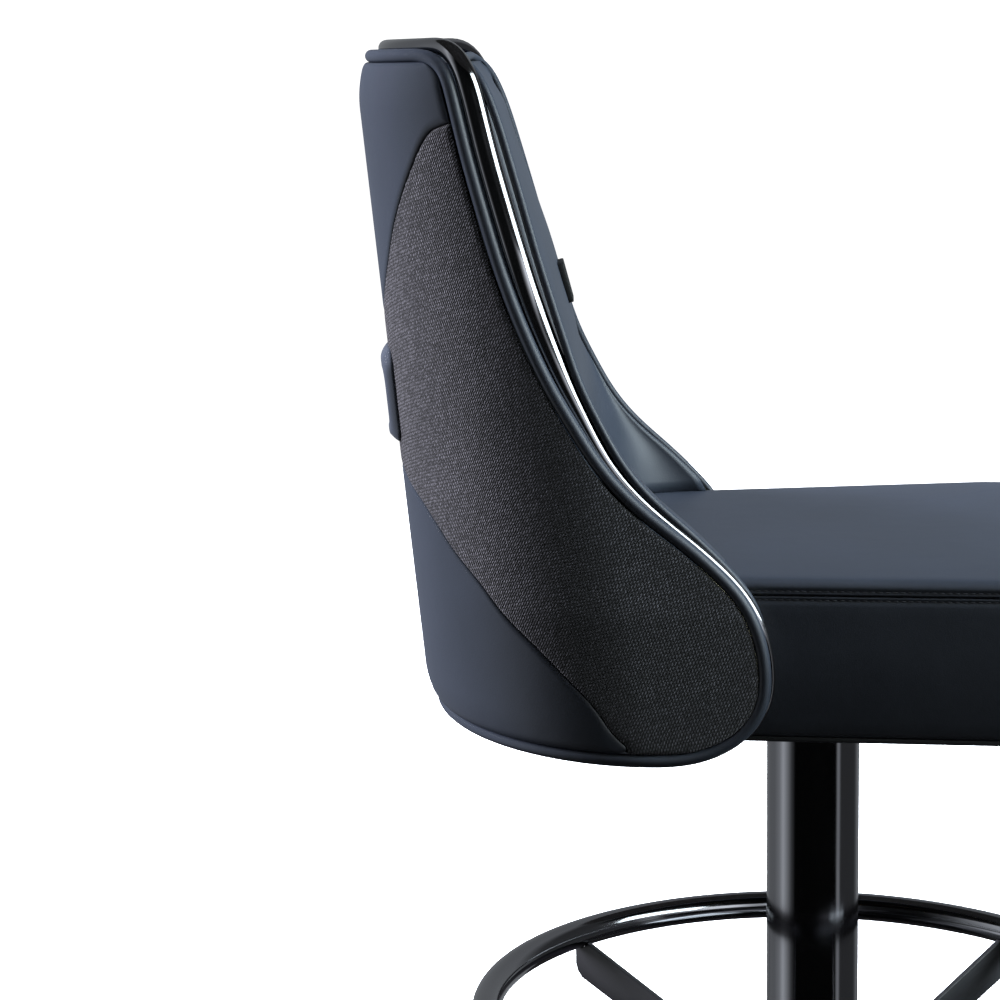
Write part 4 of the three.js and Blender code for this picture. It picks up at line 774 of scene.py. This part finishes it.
def edge_frames(line):
    """At each point of the edge: the way in, the way the trim stacks on the welt, the way out, and the rise."""
    frames = []
    for i, point in enumerate(line):
        along = (line[min(i + 1, len(line) - 1)] - line[max(i - 1, 0)]).normalized()
        rise = clamp01(rise_share(point.z))
        height = rise * BACK_RISE + BACK_FOOT
        run = math.copysign(run_at_depth(height, point.y), point.x)
        outwards = outer_normal(height, run, level=True)
        turn = math.pi / 2 * curve_at(STACK_TURN, rise)
        stack = FORWARDS * math.cos(turn) - outwards * math.sin(turn)
        stack = (stack - along * stack.dot(along)).normalized()
        frames.append((point, -outwards, stack, stack.cross(along).normalized(), rise))
    return frames


FRAMES = edge_frames(EDGE)


def section(centre, first, second, half_first, half_second, sides, power=2.0):
    """Ring of a rounded bar: 2 gives an ellipse, more gives flatter sides."""
    ring = []
    for i in range(sides):
        turn = 2 * math.pi * (i + 0.5) / sides
        c, s = math.cos(turn), math.sin(turn)
        ring.append(
            centre
            + first * (half_first * math.copysign(abs(c) ** (2 / power), c))
            + second * (half_second * math.copysign(abs(s) ** (2 / power), s)))
    return ring


def domed(rings, centres):
    """Rounded ends: the end ring drawn in over a few steps towards its centre."""
    start = [[c.lerp(p, s) for p in rings[0]] for s, c in ((0.35, centres[0]), (0.75, centres[0]))]
    end = [[c.lerp(p, s) for p in rings[-1]] for s, c in ((0.75, centres[1]), (0.35, centres[1]))]
    return start + rings + end


def swept(name, line, radii, sides):
    """Round cord along a line with a radius for each point, on frames that don't twist."""
    rings = []
    side = Vector((0, 0, 1))
    for i, (point, radius) in enumerate(zip(line, radii)):
        along = (line[min(i + 1, len(line) - 1)] - line[max(i - 1, 0)]).normalized()
        side = side - along * side.dot(along)
        if side.length < 1e-4:
            side = along.orthogonal()
        side.normalize()
        rings.append(section(point, side, along.cross(side), radius, radius, sides))
    return loft_piece(name, domed(rings, (line[0], line[-1])))


def welt_line():
    foot_run = run_at_depth(BACK_FOOT, RIM[0][0])
    foot = [back_point(BACK_FOOT, -lerp(1.2, foot_run, i / 60), WELT_SINK) for i in range(60)]
    return relaxed(resampled(foot + EDGE + mirrored(foot), 4.5), 3)


welt_path = welt_line()
welt = swept("rear_welt_cord", welt_path, [WELT_RADIUS] * len(welt_path), 18)

trim_rings, trim_centres, roll_radii, roll_centres = [], [], [], []
for point, inwards, stack, out, rise in FRAMES:
    half = TRIM_HALF * curve_at(TRIM_WIDTH, rise)
    centre = point + stack * (WELT_RADIUS + 0.6 + half) + out * (TOP_LIFT * top_part(rise) - TRIM_SINK)
    trim_centres.append(centre)
    trim_rings.append((stack, out, half))
    place = (
        point
        + FORWARDS * (ROLL_REACH * curve_at(ROLL_FORWARD, rise))
        + inwards * (ROLL_INSET * curve_at(ROLL_INWARD, rise)))
    place.y = min(place.y, TOP_FRONT) if rise < 0.999 else TOP_FRONT
    place.z -= ROLL_DROP * top_part(rise)
    roll_centres.append(place)
    roll_radii.append(ROLL_RADIUS * curve_at(ROLL_SIZE, rise))

trim_centres = relaxed(trim_centres, 4)
rings = [
    section(c, stack, out, half, TRIM_THICKNESS / 2, 28, power=2.05)
    for c, (stack, out, half) in zip(trim_centres, trim_rings)]
trim = loft_piece("back_edge_trim", domed(rings, (trim_centres[0], trim_centres[-1])))

roll = swept("front_roll_cord", relaxed(roll_centres, 10), roll_radii, 20)


# ---- Inner back cushion

WALL_DEPTH = [
    (0.19, 1), (0.25, 0.92), (0.37, 0.87), (0.443, 0.85), (0.56, 0.64), (0.636, 0.6), (0.71, 0.48),
    (0.93, 0.48), (0.965, 0.85), (0.985, 1.1),
]
PAD = [(0.4, 1), (0.7, 0.55)]
CUSHION_BOTTOM = 648.2
ARC_STEPS, SIDE_STEPS, FRONT_STEPS = 56, 6, 64


def cushion_ring(height, front_back=0.0, level=None):
    """Level ring of the cushion: outer arc inside the shell, side walls, and the soft front."""
    rise = rise_share(height)
    behind = rim_depth(height, -9.5)
    wall = 28.5 * curve_at(WALL_DEPTH, rise)
    roll_y = roll_depth(height)
    span = run_at_depth(height, behind + 4)
    arc = []
    for i in range(ARC_STEPS + 1):
        share = 1 - 2 * i / ARC_STEPS
        point = level_point(height, share * span, SHELL_BACK + 1.2)
        # Hollows round the handle's pocket and the two brackets
        if abs(point.x) < 58 and abs(height - HANDLE_HEIGHT) < 36:
            point.y -= 15
        if abs(abs(point.x) - 78) < 26 and height < 722:
            point.y = min(point.y, 281)
        arc.append(point)
    rim_x = plan_point(height, run_at_depth(height, rim_depth(height))).x
    wall_x = rim_x - wall
    sides = []
    for sign in (-1, 1):
        rear = level_point(height, sign * run_at_depth(height, behind), wall)
        front = Vector((sign * min(wall_x, abs(rear.x)), roll_y + front_back, height))
        sides.append([rear.lerp(front, k / SIDE_STEPS) for k in range(SIDE_STEPS + 1)])
    edge_x = min(rim_x - 46 * curve_at(PAD, rise), wall_x - ROLL_RADIUS)
    middle, edge = front_depth(height), roll_y - ROLL_RADIUS / 2
    front = []
    for i in range(FRONT_STEPS + 1):
        bent = math.sin((2 * i / FRONT_STEPS - 1) * math.pi / 2)
        fall = 1 - clamp01(1 - abs(bent) ** 2.2) ** (1 / 2.2)
        front.append(Vector((bent * edge_x, lerp(middle, edge, fall) + front_back, height)))
    ring = arc + sides[0] + front + list(reversed(sides[1]))
    for point in ring:
        point.z = height if level is None else level
    return ring


SEAT_EDGE_TOP = [
    (0.0, 622), (0.9, 638), (2.0, 639.8), (3.8, 641.4), (6.4, 642.7), (10, 643.5), (22, 644.5), (58, 646.6),
    (143, 648.2),
]


def cushion_foot(point):
    """Lowest height of the cushion over a place: it rests on the seat and hangs past its rolled edge."""
    inset = min(SEAT_HALF - SEAT_FLARE * point.y - abs(point.x), SEAT_REAR - point.y)
    return table_at(SEAT_EDGE_TOP, inset)


CUSHION_LEVELS = 70
cushion_rings = [
    cushion_ring(lerp(CUSHION_BOTTOM, CUSHION_TOP_START, i / CUSHION_LEVELS)) for i in range(CUSHION_LEVELS + 1)]
for point in cushion_rings[0]:
    point.z = cushion_foot(point)
behind_roll = 2 * ROLL_RADIUS + 0.6
shoulder_y = TOP_FRONT + ROLL_RADIUS + 0.6
shoulder = cushion_ring(CUSHION_TOP_START, front_back=behind_roll, level=CUSHION_TOP_START + 0.3)
for point in shoulder:
    point.y = max(point.y, shoulder_y)
cushion_rings.append(shoulder)
for width, depth, rise in ((0.985, 0.93, 0.22), (0.95, 0.84, 0.42), (0.9, 0.7, 0.62), (0.85, 0.56, 0.9),
                           (0.8, 0.45, 1.08), (0.6, 0.3, 1.2), (0.3, 0.15, 1.25)):
    cushion_rings.append([
        Vector((p.x * width, lerp(shoulder_y, p.y, depth), CUSHION_TOP_START + rise * ROLL_RADIUS))
        for p in shoulder])
cushion = loft_piece("inner_back_cushion_cover", cushion_rings, ends="face")


# ---- Seat

FRONT_CORNER, REAR_CORNER, FRONT_BOW, CORNER_STEPS = 64, 48, 10, 16


def seat_outline(inset):
    """Seat outline drawn in by an inset: straight flared sides, bowed front, rounded corners."""
    front, rear = SEAT_FRONT + inset, SEAT_REAR - inset

    def half_at(y):
        return SEAT_HALF - SEAT_FLARE * y - inset

    def corner(x, y, radius, start, end):
        turns = [lerp(start, end, i / CORNER_STEPS) for i in range(CORNER_STEPS + 1)]
        return [(x + radius * math.cos(turn), y + radius * math.sin(turn)) for turn in turns]

    lean = math.atan(SEAT_FLARE)
    front_corner, rear_corner = max(FRONT_CORNER - inset, 0.3), max(REAR_CORNER - inset, 0.3)
    front_x = half_at(front + front_corner) - front_corner
    rear_x = half_at(rear - rear_corner) - rear_corner
    half = [(i / 16 * front_x, front - FRONT_BOW * (1 - (i / 16) ** 2)) for i in range(16)]
    half += corner(front_x, front + front_corner, front_corner, -math.pi / 2, lean)
    back_corner = corner(rear_x, rear - rear_corner, rear_corner, lean, math.pi / 2)
    (x0, y0), (x1, y1) = half[-1], back_corner[0]
    half += [(lerp(x0, x1, k / 14), lerp(y0, y1, k / 14)) for k in range(1, 14)] + back_corner
    half += [(rear_x * (1 - k / 10), rear) for k in range(1, 11)]
    return half + [(-x, y) for x, y in reversed(half[1:-1])]


def seat_ring(inset, height):
    return [(x, y, height) for x, y in seat_outline(inset)]


# (height, inset) up the band: hem tucked under, soft belly, and the lower groove and valley of the seam
BAND_PROFILE = [
    (522.0, 7.7), (522.0, 5.2), (522.8, 4.0), (526, 3.0), (535, 2.0), (550, 0.7), (565, -0.2), (580, -0.5),
    (595, -0.4), (608, -0.1), (616, 0.0), (622, 0.15), (624.8, 0.45), (626.2, 1.15), (627.0, 1.2), (628.0, 0.5),
    (629.0, 0.75), (629.6, 1.9), (629.7, 4.0), (600, 7.7), (560, 7.7),
]
# (height, inset) over the top panel: valley, groove, rolled edge and crown
TOP_PROFILE = [
    (630.0, 6.0), (630.1, 1.9), (630.7, 0.75), (631.8, 0.5), (632.8, 1.25), (633.8, 1.2), (635.2, 0.6),
    (637.0, 0.9), (638.8, 2.0), (640.4, 3.8), (641.7, 6.4), (642.5, 10.0), (643.0, 15), (643.5, 22),
    (644.6, 38), (645.5, 58), (646.2, 84), (646.7, 112), (647.0, 143), (647.0, 170), (647.0, 190),
]


band = loft_piece("seat_band_cover", [seat_ring(inset, z) for z, inset in BAND_PROFILE], closed_path=True)
top_panel = loft_piece(
    "seat_top_cover", [seat_ring(inset, z) for z, inset in TOP_PROFILE], ends="face")


# ---- Stitches and screws by Geometry Nodes


def new_tree(name, sockets):
    tree = bpy.data.node_groups.new(name, "GeometryNodeTree")
    tree.interface.new_socket("Geometry", in_out="INPUT", socket_type="NodeSocketGeometry")
    tree.interface.new_socket("Geometry", in_out="OUTPUT", socket_type="NodeSocketGeometry")
    for label, kind, value in sockets:
        socket = tree.interface.new_socket(label, in_out="INPUT", socket_type=kind)
        if value is not None:
            socket.default_value = value
    return tree, add_node(tree, "NodeGroupInput"), add_node(tree, "NodeGroupOutput")


def set_inputs(modifier, values):
    """Sets a modifier's inputs by their sockets' identifiers."""
    for item in modifier.node_group.interface.items_tree:
        if item.in_out == "INPUT" and item.name in values:
            modifier[item.identifier] = values[item.name]


def repeat_on(tree, given, result, points, instance, **inputs):
    """The tree's end: the instance on each point, made real and given its finish."""
    placed = add_node(tree, "GeometryNodeInstanceOnPoints", {"Points": points, "Instance": instance, **inputs})
    real = add_node(tree, "GeometryNodeRealizeInstances", {0: placed.outputs[0]})
    finish = add_node(
        tree, "GeometryNodeSetMaterial", {0: real.outputs[0], "Material": given.outputs["Finish"]})
    tree.links.new(finish.outputs[0], result.inputs[0])
    return tree


def stitch_tree():
    """Stitches laid end to end along a line."""
    tree, given, result = new_tree("topstitching", [
        ("Pitch", "NodeSocketFloat", 0.0056), ("Length", "NodeSocketFloat", 0.0042),
        ("Thickness", "NodeSocketFloat", 0.0009), ("Finish", "NodeSocketMaterial", None)])
    line = add_node(tree, "GeometryNodeMeshToCurve", {0: given.outputs["Geometry"]})
    spaced = add_node(
        tree, "GeometryNodeResampleCurve", {"Curve": line.outputs[0], "Length": given.outputs["Pitch"]},
        mode="LENGTH")
    tangent = add_node(tree, "GeometryNodeInputTangent")
    facing = add_node(tree, "FunctionNodeAlignRotationToVector", {"Vector": tangent.outputs[0]}, axis="X")
    ball = add_node(tree, "GeometryNodeMeshUVSphere", {"Segments": 8, "Rings": 6, "Radius": 0.5})
    size = add_node(tree, "ShaderNodeCombineXYZ", {
        0: given.outputs["Length"], 1: given.outputs["Thickness"], 2: given.outputs["Thickness"]})
    stitch = add_node(tree, "GeometryNodeTransform", {"Geometry": ball.outputs[0], "Scale": size.outputs[0]})
    shaded = add_node(tree, "GeometryNodeSetShadeSmooth", {0: stitch.outputs[0]})
    return repeat_on(tree, given, result, spaced.outputs[0], shaded.outputs[0], Rotation=facing.outputs[0])


def bolt_tree():
    """Hexagon bolts standing on their heads at given points: chamfered head and plain shank."""
    tree, given, result = new_tree("hexagon_bolts", [
        ("Head Radius", "NodeSocketFloat", 0.0075), ("Head Height", "NodeSocketFloat", 0.0053),
        ("Shank Radius", "NodeSocketFloat", 0.004), ("Shank Length", "NodeSocketFloat", 0.015),
        ("Finish", "NodeSocketMaterial", None)])
    sizes = ("Head Radius", "Head Height", "Shank Radius", "Shank Length")
    made = {name: given.outputs[name] for name in sizes}
    steps = [
        ("Chamfer", "Head Height", "MULTIPLY", 0.18), ("Rest", "Head Height", "MULTIPLY", 0.82),
        ("Face", "Head Radius", "MULTIPLY", 0.88), ("Half Rest", "Rest", "MULTIPLY", 0.5),
        ("Head Middle", "Half Rest", "ADD", "Chamfer"), ("Half Shank", "Shank Length", "MULTIPLY", 0.5),
        ("Shank Middle", "Half Shank", "ADD", "Head Height"),
    ]
    for name, first, operation, second in steps:
        inputs = {0: made[first], 1: made.get(second, second)}
        made[name] = add_node(tree, "ShaderNodeMath", inputs, operation=operation).outputs[0]
    chamfer = add_node(tree, "GeometryNodeMeshCone", {
        "Vertices": 6, "Radius Top": made["Head Radius"], "Radius Bottom": made["Face"],
        "Depth": made["Chamfer"]})
    head = add_node(tree, "GeometryNodeMeshCylinder", {
        "Vertices": 6, "Radius": made["Head Radius"], "Depth": made["Rest"]})
    shank = add_node(tree, "GeometryNodeMeshCylinder", {
        "Vertices": 24, "Radius": made["Shank Radius"], "Depth": made["Shank Length"]})
    bolt = add_node(tree, "GeometryNodeJoinGeometry")
    for mesh, height in ((shank, "Shank Middle"), (head, "Head Middle")):
        place = add_node(tree, "ShaderNodeCombineXYZ", {2: made[height]})
        lifted = add_node(
            tree, "GeometryNodeTransform", {"Geometry": mesh.outputs[0], "Translation": place.outputs[0]})
        tree.links.new(lifted.outputs[0], bolt.inputs[0])
    tree.links.new(chamfer.outputs[0], bolt.inputs[0])
    dots = add_node(tree, "GeometryNodeMeshToPoints", {0: given.outputs["Geometry"]})
    return repeat_on(tree, given, result, dots.outputs[0], bolt.outputs[0])


def node_piece(name, points, edges, tree, values):
    """Piece that a Geometry Nodes tree makes from points in millimetres."""
    obj = new_object(name, points, edges, [])
    modifier = obj.modifiers.new("made", "NODES")
    modifier.node_group = tree
    set_inputs(modifier, values)
    return baked(obj)


# Two rows, in the grooves under and over the seat's seam
STITCH_INSET, STITCH_HEIGHTS = 0.95, (626.7, 633.2)
points, edges = [], []
for height in STITCH_HEIGHTS:
    line = seat_ring(STITCH_INSET, height)
    first = len(points)
    points += line
    edges += [(first + k, first + (k + 1) % len(line)) for k in range(len(line))]
seat_stitches = node_piece("seat_topstitching", points, edges, stitch_tree(), {"Finish": THREAD})
finish_piece(seat_stitches, "seat", "slate_vinyl", material=THREAD)


BOLTS = bolt_tree()


def bolt_set(name, nodes, body, head_radius, head_height, shank_radius, heads_up=False):
    """The bolts of some CAD nodes as one piece on their body, each where its node stands."""
    places = []
    for node in nodes:
        low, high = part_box(node)
        x, y = (low[0] + high[0]) / 2 / MM, (low[1] + high[1]) / 2 / MM
        places.append((x, -y, -high[2] / MM) if heads_up else (x, y, low[2] / MM))
    low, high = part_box(nodes[0])
    obj = node_piece(name, places, [], BOLTS, {
        "Head Radius": head_radius * MM, "Head Height": head_height * MM, "Shank Radius": shank_radius * MM,
        "Shank Length": high[2] - low[2] - head_height * MM, "Finish": ZINC})
    if heads_up:
        obj.data.transform(Matrix.Rotation(math.pi, 4, "X"))
    return finish_piece(obj, body, "zinc_steel", *nodes)


# ---- Finishing the pieces

for obj, slot, node, fill in (
        (rear_top, "slate_vinyl", "rear_top_panel", 0.8),
        (rear_fabric, "charcoal_weave", "rear_fabric_wrap", 0.8),
        (rear_bottom, "slate_vinyl", "rear_bottom_panel", 0.8), (welt, "slate_vinyl", "rear_welt", None),
        (trim, "smoked_chrome", "back_trim", None), (roll, "slate_vinyl", "front_edge_roll", None),
        (cushion, "slate_vinyl", "inner_back_cushion", 0.85), (band, "slate_vinyl", "seat_side_band", 0.9),
        (top_panel, "slate_vinyl", "seat_top_panel", 0.9)):
    finish_piece(obj, "seat", slot, node, fill=fill)
finish_piece(handle, "seat", "black_plastic", "pull_handle", material=LIT_SLATE_ABS)
# Head radius, head height and shank radius of M8 and M10 bolts
for kind, body, sizes, heads_up in (
        ("seat_mount_bolt", "seat", (7.5, 5.3, 4.0), False), ("bracket_bolt", "seat", (6.5, 5.0, 4.0), False),
        ("flange_bolt", "pedestal", (8.5, 6.4, 5.0), True)):
    bolt_set(kind + "_set", [f"{kind}_{k}" for k in (1, 2, 3, 4)], body, *sizes, heads_up=heads_up)

# Column, ring and base with fine round faces
column = turned_piece("column_pipe", [(35, 9.6), (38, 9.6), (38, 502.1), (35, 502.1)])
soften(column, 0.4)
finish_piece(column, "pedestal", "smoked_chrome", "column_tube")


RING_RADIUS, RING_HEIGHT, RING_TUBE, RING_SIDES = 273, 235.5, 12.5, 36
ring_turns = [2 * math.pi * (i + 0.5) / RING_SIDES for i in range(RING_SIDES)]
ring = turned_piece("foot_rest_ring", [
    (RING_RADIUS + RING_TUBE * math.cos(turn), RING_HEIGHT + RING_TUBE * math.sin(turn)) for turn in ring_turns],
    steps=200)
finish_piece(ring, "pedestal", "smoked_chrome", "foot_ring")

COVER_SHEET = 1.5


def cover_outline():
    """Spun base cover: rolled foot, shallow dome and neck, outside then inside."""
    top = [(284, 1.5), (284, 8)]
    for k in range(7):
        turn = math.pi / 2 * k / 6
        top.append((278 + 6 * math.cos(turn), 10 + 6 * math.sin(turn)))
    dome = [(278, 16.0), (230, 23.8), (172, 33.36), (118, 40.0), (66, 44.5), (46, 49.5), (40, 56), (39.8, 62)]
    top += spline(dome, 6)[1:]
    inner = [(r, z - COVER_SHEET) if r > 60 else (r - COVER_SHEET, z) for r, z in top]
    inner = [(min(r, 284 - COVER_SHEET), max(z, COVER_SHEET)) for r, z in inner]
    inner[0] = (284 - COVER_SHEET, COVER_SHEET)
    return top + list(reversed(inner))


cover = turned_piece("base_spun_cover", cover_outline(), steps=160)
finish_piece(cover, "pedestal", "smoked_chrome", "base_cover")

for node in ("ring_arm_1", "ring_arm_2", "ring_arm_3", "ring_arm_4", "arm_collar"):
    finish_piece(softened_copy(node + "_plate", node, 0.8), "pedestal", "black_steel", node)
for node in ("seat_pan", "back_bottom_cover"):
    finish_piece(softened_copy(node + "_moulding", node, 0.5), "seat", "black_plastic", node)
blank = softened_copy("front_badge_blank", "front_plate", 0.9, segments=3)
finish_piece(blank, "seat", "black_plastic", "front_plate")
for node in ("seat_foam", "back_base_foam"):
    finish_piece(softened_copy(node + "_core", node, 1.5), "seat", "foam", node, fill=0.95)

# Every other CAD node keeps its shape and takes the better finish of its slot: zinc plate, if not named
NODES_OF = {
    "black_rubber": ("floor_pad",), "cast_iron": ("base_weight",), "plywood": ("seat_board",),
    "bronze": ("lower_bush", "upper_bush", "ball_cage"), "black_plastic": ("back_shell",),
    "black_steel": ("base_plate", "column_flange", "bearing_housing", "seat_mount_plate",
                    "back_bracket_right", "back_bracket_left"),
}
slot_of = {node: slot for slot, nodes in NODES_OF.items() for node in nodes}
for name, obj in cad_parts.items():
    if not obj.hide_render:
        obj.data.materials.clear()
        obj.data.materials.append(FINISHES[slot_of.get(name, "zinc_steel")])

# ---- Studio


def stage_mesh(name, points, faces, glow_colour, strength, paint="#f4f4f4"):
    """Piece of the studio, in metres, that glows; returns it, its material's tree and the shader."""
    obj = new_object(name, points, [], faces, unit=1.0)
    material, tree, shader = new_finish(name + "_paint", paint, 0.9)
    shader.inputs["Emission Color"].default_value = glow_colour
    shader.inputs["Emission Strength"].default_value = strength
    obj.data.materials.append(material)
    return obj, tree, shader


def round_points(radius, count):
    """Level (x, y) points on a circle."""
    turns = [2 * math.pi * k / count for k in range(count)]
    return [(radius * math.cos(turn), radius * math.sin(turn)) for turn in turns]


WHITE, COOL = [1.0, 1.0, 1.0, 1.0], [0.9, 0.95, 1.0, 1.0]
FLOOR_RADIUS, FLOOR_SIDES = 60, 96
floor_points = [(x, y, 0.0) for x, y in round_points(FLOOR_RADIUS, FLOOR_SIDES)]
floor, floor_tree, floor_shader = stage_mesh(
    "studio_floor", floor_points, [tuple(range(FLOOR_SIDES))], WHITE, 0.72)
floor.visible_glossy = False
floor.visible_diffuse = False
# Pale near the stool, where soft shadows fall, and white further out
floor_place = add_node(floor_tree, "ShaderNodeTexCoord")
floor_reach = add_node(
    floor_tree, "ShaderNodeVectorMath", {0: floor_place.outputs["Object"]}, operation="LENGTH")
floor_glow = add_node(floor_tree, "ShaderNodeMapRange", {
    0: floor_reach.outputs["Value"], 1: 0.7, 2: 2.0, 3: 0.72, 4: 1.05})
floor_tree.links.new(floor_glow.outputs[0], floor_shader.inputs["Emission Strength"])

# Black studio wall round the stool that only its gloss and light show. (turn, brightness) over the turn from
# +X: a soft window beside the rear, a narrow one at the front, dark behind the camera
WALL_RADIUS, WALL_SIDES = 4.5, 180
WALL_GLOW = [
    (-180, 0.0), (-126, 0.0), (-121, 0.5), (-117, 0.5), (-112, 0.07), (-60, 0.07), (-40, 0.3), (-10, 0.26),
    (40, 0.26), (66, 0.3), (84, 0.5), (96, 1.0), (106, 0.62), (120, 0.12), (130, 0.0), (180, 0.0),
]
# Window in front of the camera's left shoulder, between the two middle rows: the trim's long highlight
TRIM_GLOW = [
    (-180, 0.0), (-172, 0.25), (-162, 1.0), (-153, 2.2), (-144, 2.1), (-134, 0.9), (-124, 0.25), (-116, 0.0)]
# (height, share of that window)
WALL_ROWS = [(-2.4, 0), (0.6, 0), (0.75, 1), (2.3, 1), (2.6, 0), (5.0, 0)]
wall_points, wall_glow = [], []
for k in range(WALL_SIDES):
    turn = 360 / WALL_SIDES * k - 180
    x, y = WALL_RADIUS * math.cos(math.radians(turn)), WALL_RADIUS * math.sin(math.radians(turn))
    for z, share in WALL_ROWS:
        wall_points.append((x, y, z))
        wall_glow.append(table_at(WALL_GLOW, turn) + share * table_at(TRIM_GLOW, turn))
# Turned about, so that the wall faces the stool
wall_faces = [face[::-1] for face in grid_faces(WALL_SIDES, len(WALL_ROWS), wrap_lines=True)]
wall, wall_tree, wall_shader = stage_mesh("studio_wall", wall_points, wall_faces, COOL, 0.0, paint="#050505")
wall.visible_camera = False
wall.data.attributes.new("glow", "FLOAT", "POINT").data.foreach_set("value", wall_glow)
wall_reading = add_node(wall_tree, "ShaderNodeAttribute", attribute_name="glow")
wall_tree.links.new(wall_reading.outputs["Fac"], wall_shader.inputs["Emission Strength"])

world = bpy.data.worlds.new("studio")
bpy.context.scene.world = world
world.use_nodes = True
background = world.node_tree.nodes["Background"]
background.inputs[0].default_value = WHITE
background.inputs[1].default_value = 0.03

# White surround that only the camera sees
DOME_RADIUS, DOME_SIDES, DOME_ROWS = 58, 48, 16
dome_points = []
for i in range(DOME_ROWS + 1):
    up = lerp(math.radians(-20), math.radians(90), i / DOME_ROWS)
    level = round_points(DOME_RADIUS * math.cos(up), DOME_SIDES)
    dome_points += [(x, y, DOME_RADIUS * math.sin(up)) for x, y in level]
dome_faces = grid_faces(DOME_ROWS + 1, DOME_SIDES, wrap_points=True)
dome, _, _ = stage_mesh("studio_surround", dome_points, dome_faces, WHITE, 1.2)
for sense in ("diffuse", "glossy", "transmission", "shadow", "volume_scatter"):
    setattr(dome, "visible_" + sense, False)


def softbox(name, place, target, width, height, power, colour, glossy=True, diffuse=True):
    data = bpy.data.lights.new(name, "AREA")
    data.shape = "RECTANGLE"
    data.size, data.size_y = width, height
    data.energy = power
    data.color = srgb(colour)[:3]
    obj = bpy.data.objects.new(name, data)
    bpy.context.collection.objects.link(obj)
    obj.location = place
    obj.rotation_euler = (Vector(target) - Vector(place)).to_track_quat("-Z", "Y").to_euler()
    obj.visible_glossy = glossy
    obj.visible_diffuse = diffuse
    obj.visible_camera = False


# Each light shows in gloss or falls on matt faces, not both, so that the two are set on their own
softbox("overhead", (0.2, 0.0, 3.4), (0, 0.1, 0.6), 2.6, 2.6, 160, "#e4ecff", glossy=False)
softbox("overhead_glow", (0.2, 0.0, 3.4), (0, 0.1, 0.6), 2.6, 2.6, 75, "#eef2ff", diffuse=False)
softbox("front_key", (-0.3, -3.4, 2.2), (0, 0.1, 0.8), 1.8, 1.6, 780, "#e0f0f4", glossy=False)
softbox("wing_window", (-1.7, -2.9, 2.5), (0.1, 0.1, 0.75), 2.4, 2.4, 200, "#e4f2f4", diffuse=False)
softbox("side_fill", (1.5, 3.1, 1.7), (0, 0.1, 0.8), 1.6, 2.0, 1050, "#f4f4ff", glossy=False)

# The photograph's camera, worked out from the foot ring's ellipse, the column and the seams: its focal
# length in pixels of the 1000 px frame, its place in metres, and its axes before a small roll
SENSOR, FRAME_PIXELS, FOCAL_PIXELS = 36, 1000, 2704.7
CAMERA_PLACE, CAMERA_ROLL = (-2.1696, 0.1978, 1.0349), math.radians(-0.877)
AHEAD = Vector((0.98572, 0.02596, -0.16641))
RIGHT, UP = Vector((0.02633, -0.99965, 0)), Vector((0.16635, 0.00438, 0.98606))
camera_data = bpy.data.cameras.new("camera")
camera_data.sensor_width = SENSOR
camera_data.lens = FOCAL_PIXELS * SENSOR / FRAME_PIXELS
camera_data.clip_end = 200
camera = bpy.data.objects.new("camera", camera_data)
bpy.context.collection.objects.link(camera)
turned_right = RIGHT * math.cos(CAMERA_ROLL) + UP * math.sin(CAMERA_ROLL)
turned_up = UP * math.cos(CAMERA_ROLL) - RIGHT * math.sin(CAMERA_ROLL)
camera.matrix_world = Matrix((
    *((turned_right[k], turned_up[k], -AHEAD[k], CAMERA_PLACE[k]) for k in range(3)), (0, 0, 0, 1)))
bpy.context.scene.camera = camera
bpy.context.scene.view_settings.view_transform = "Standard"
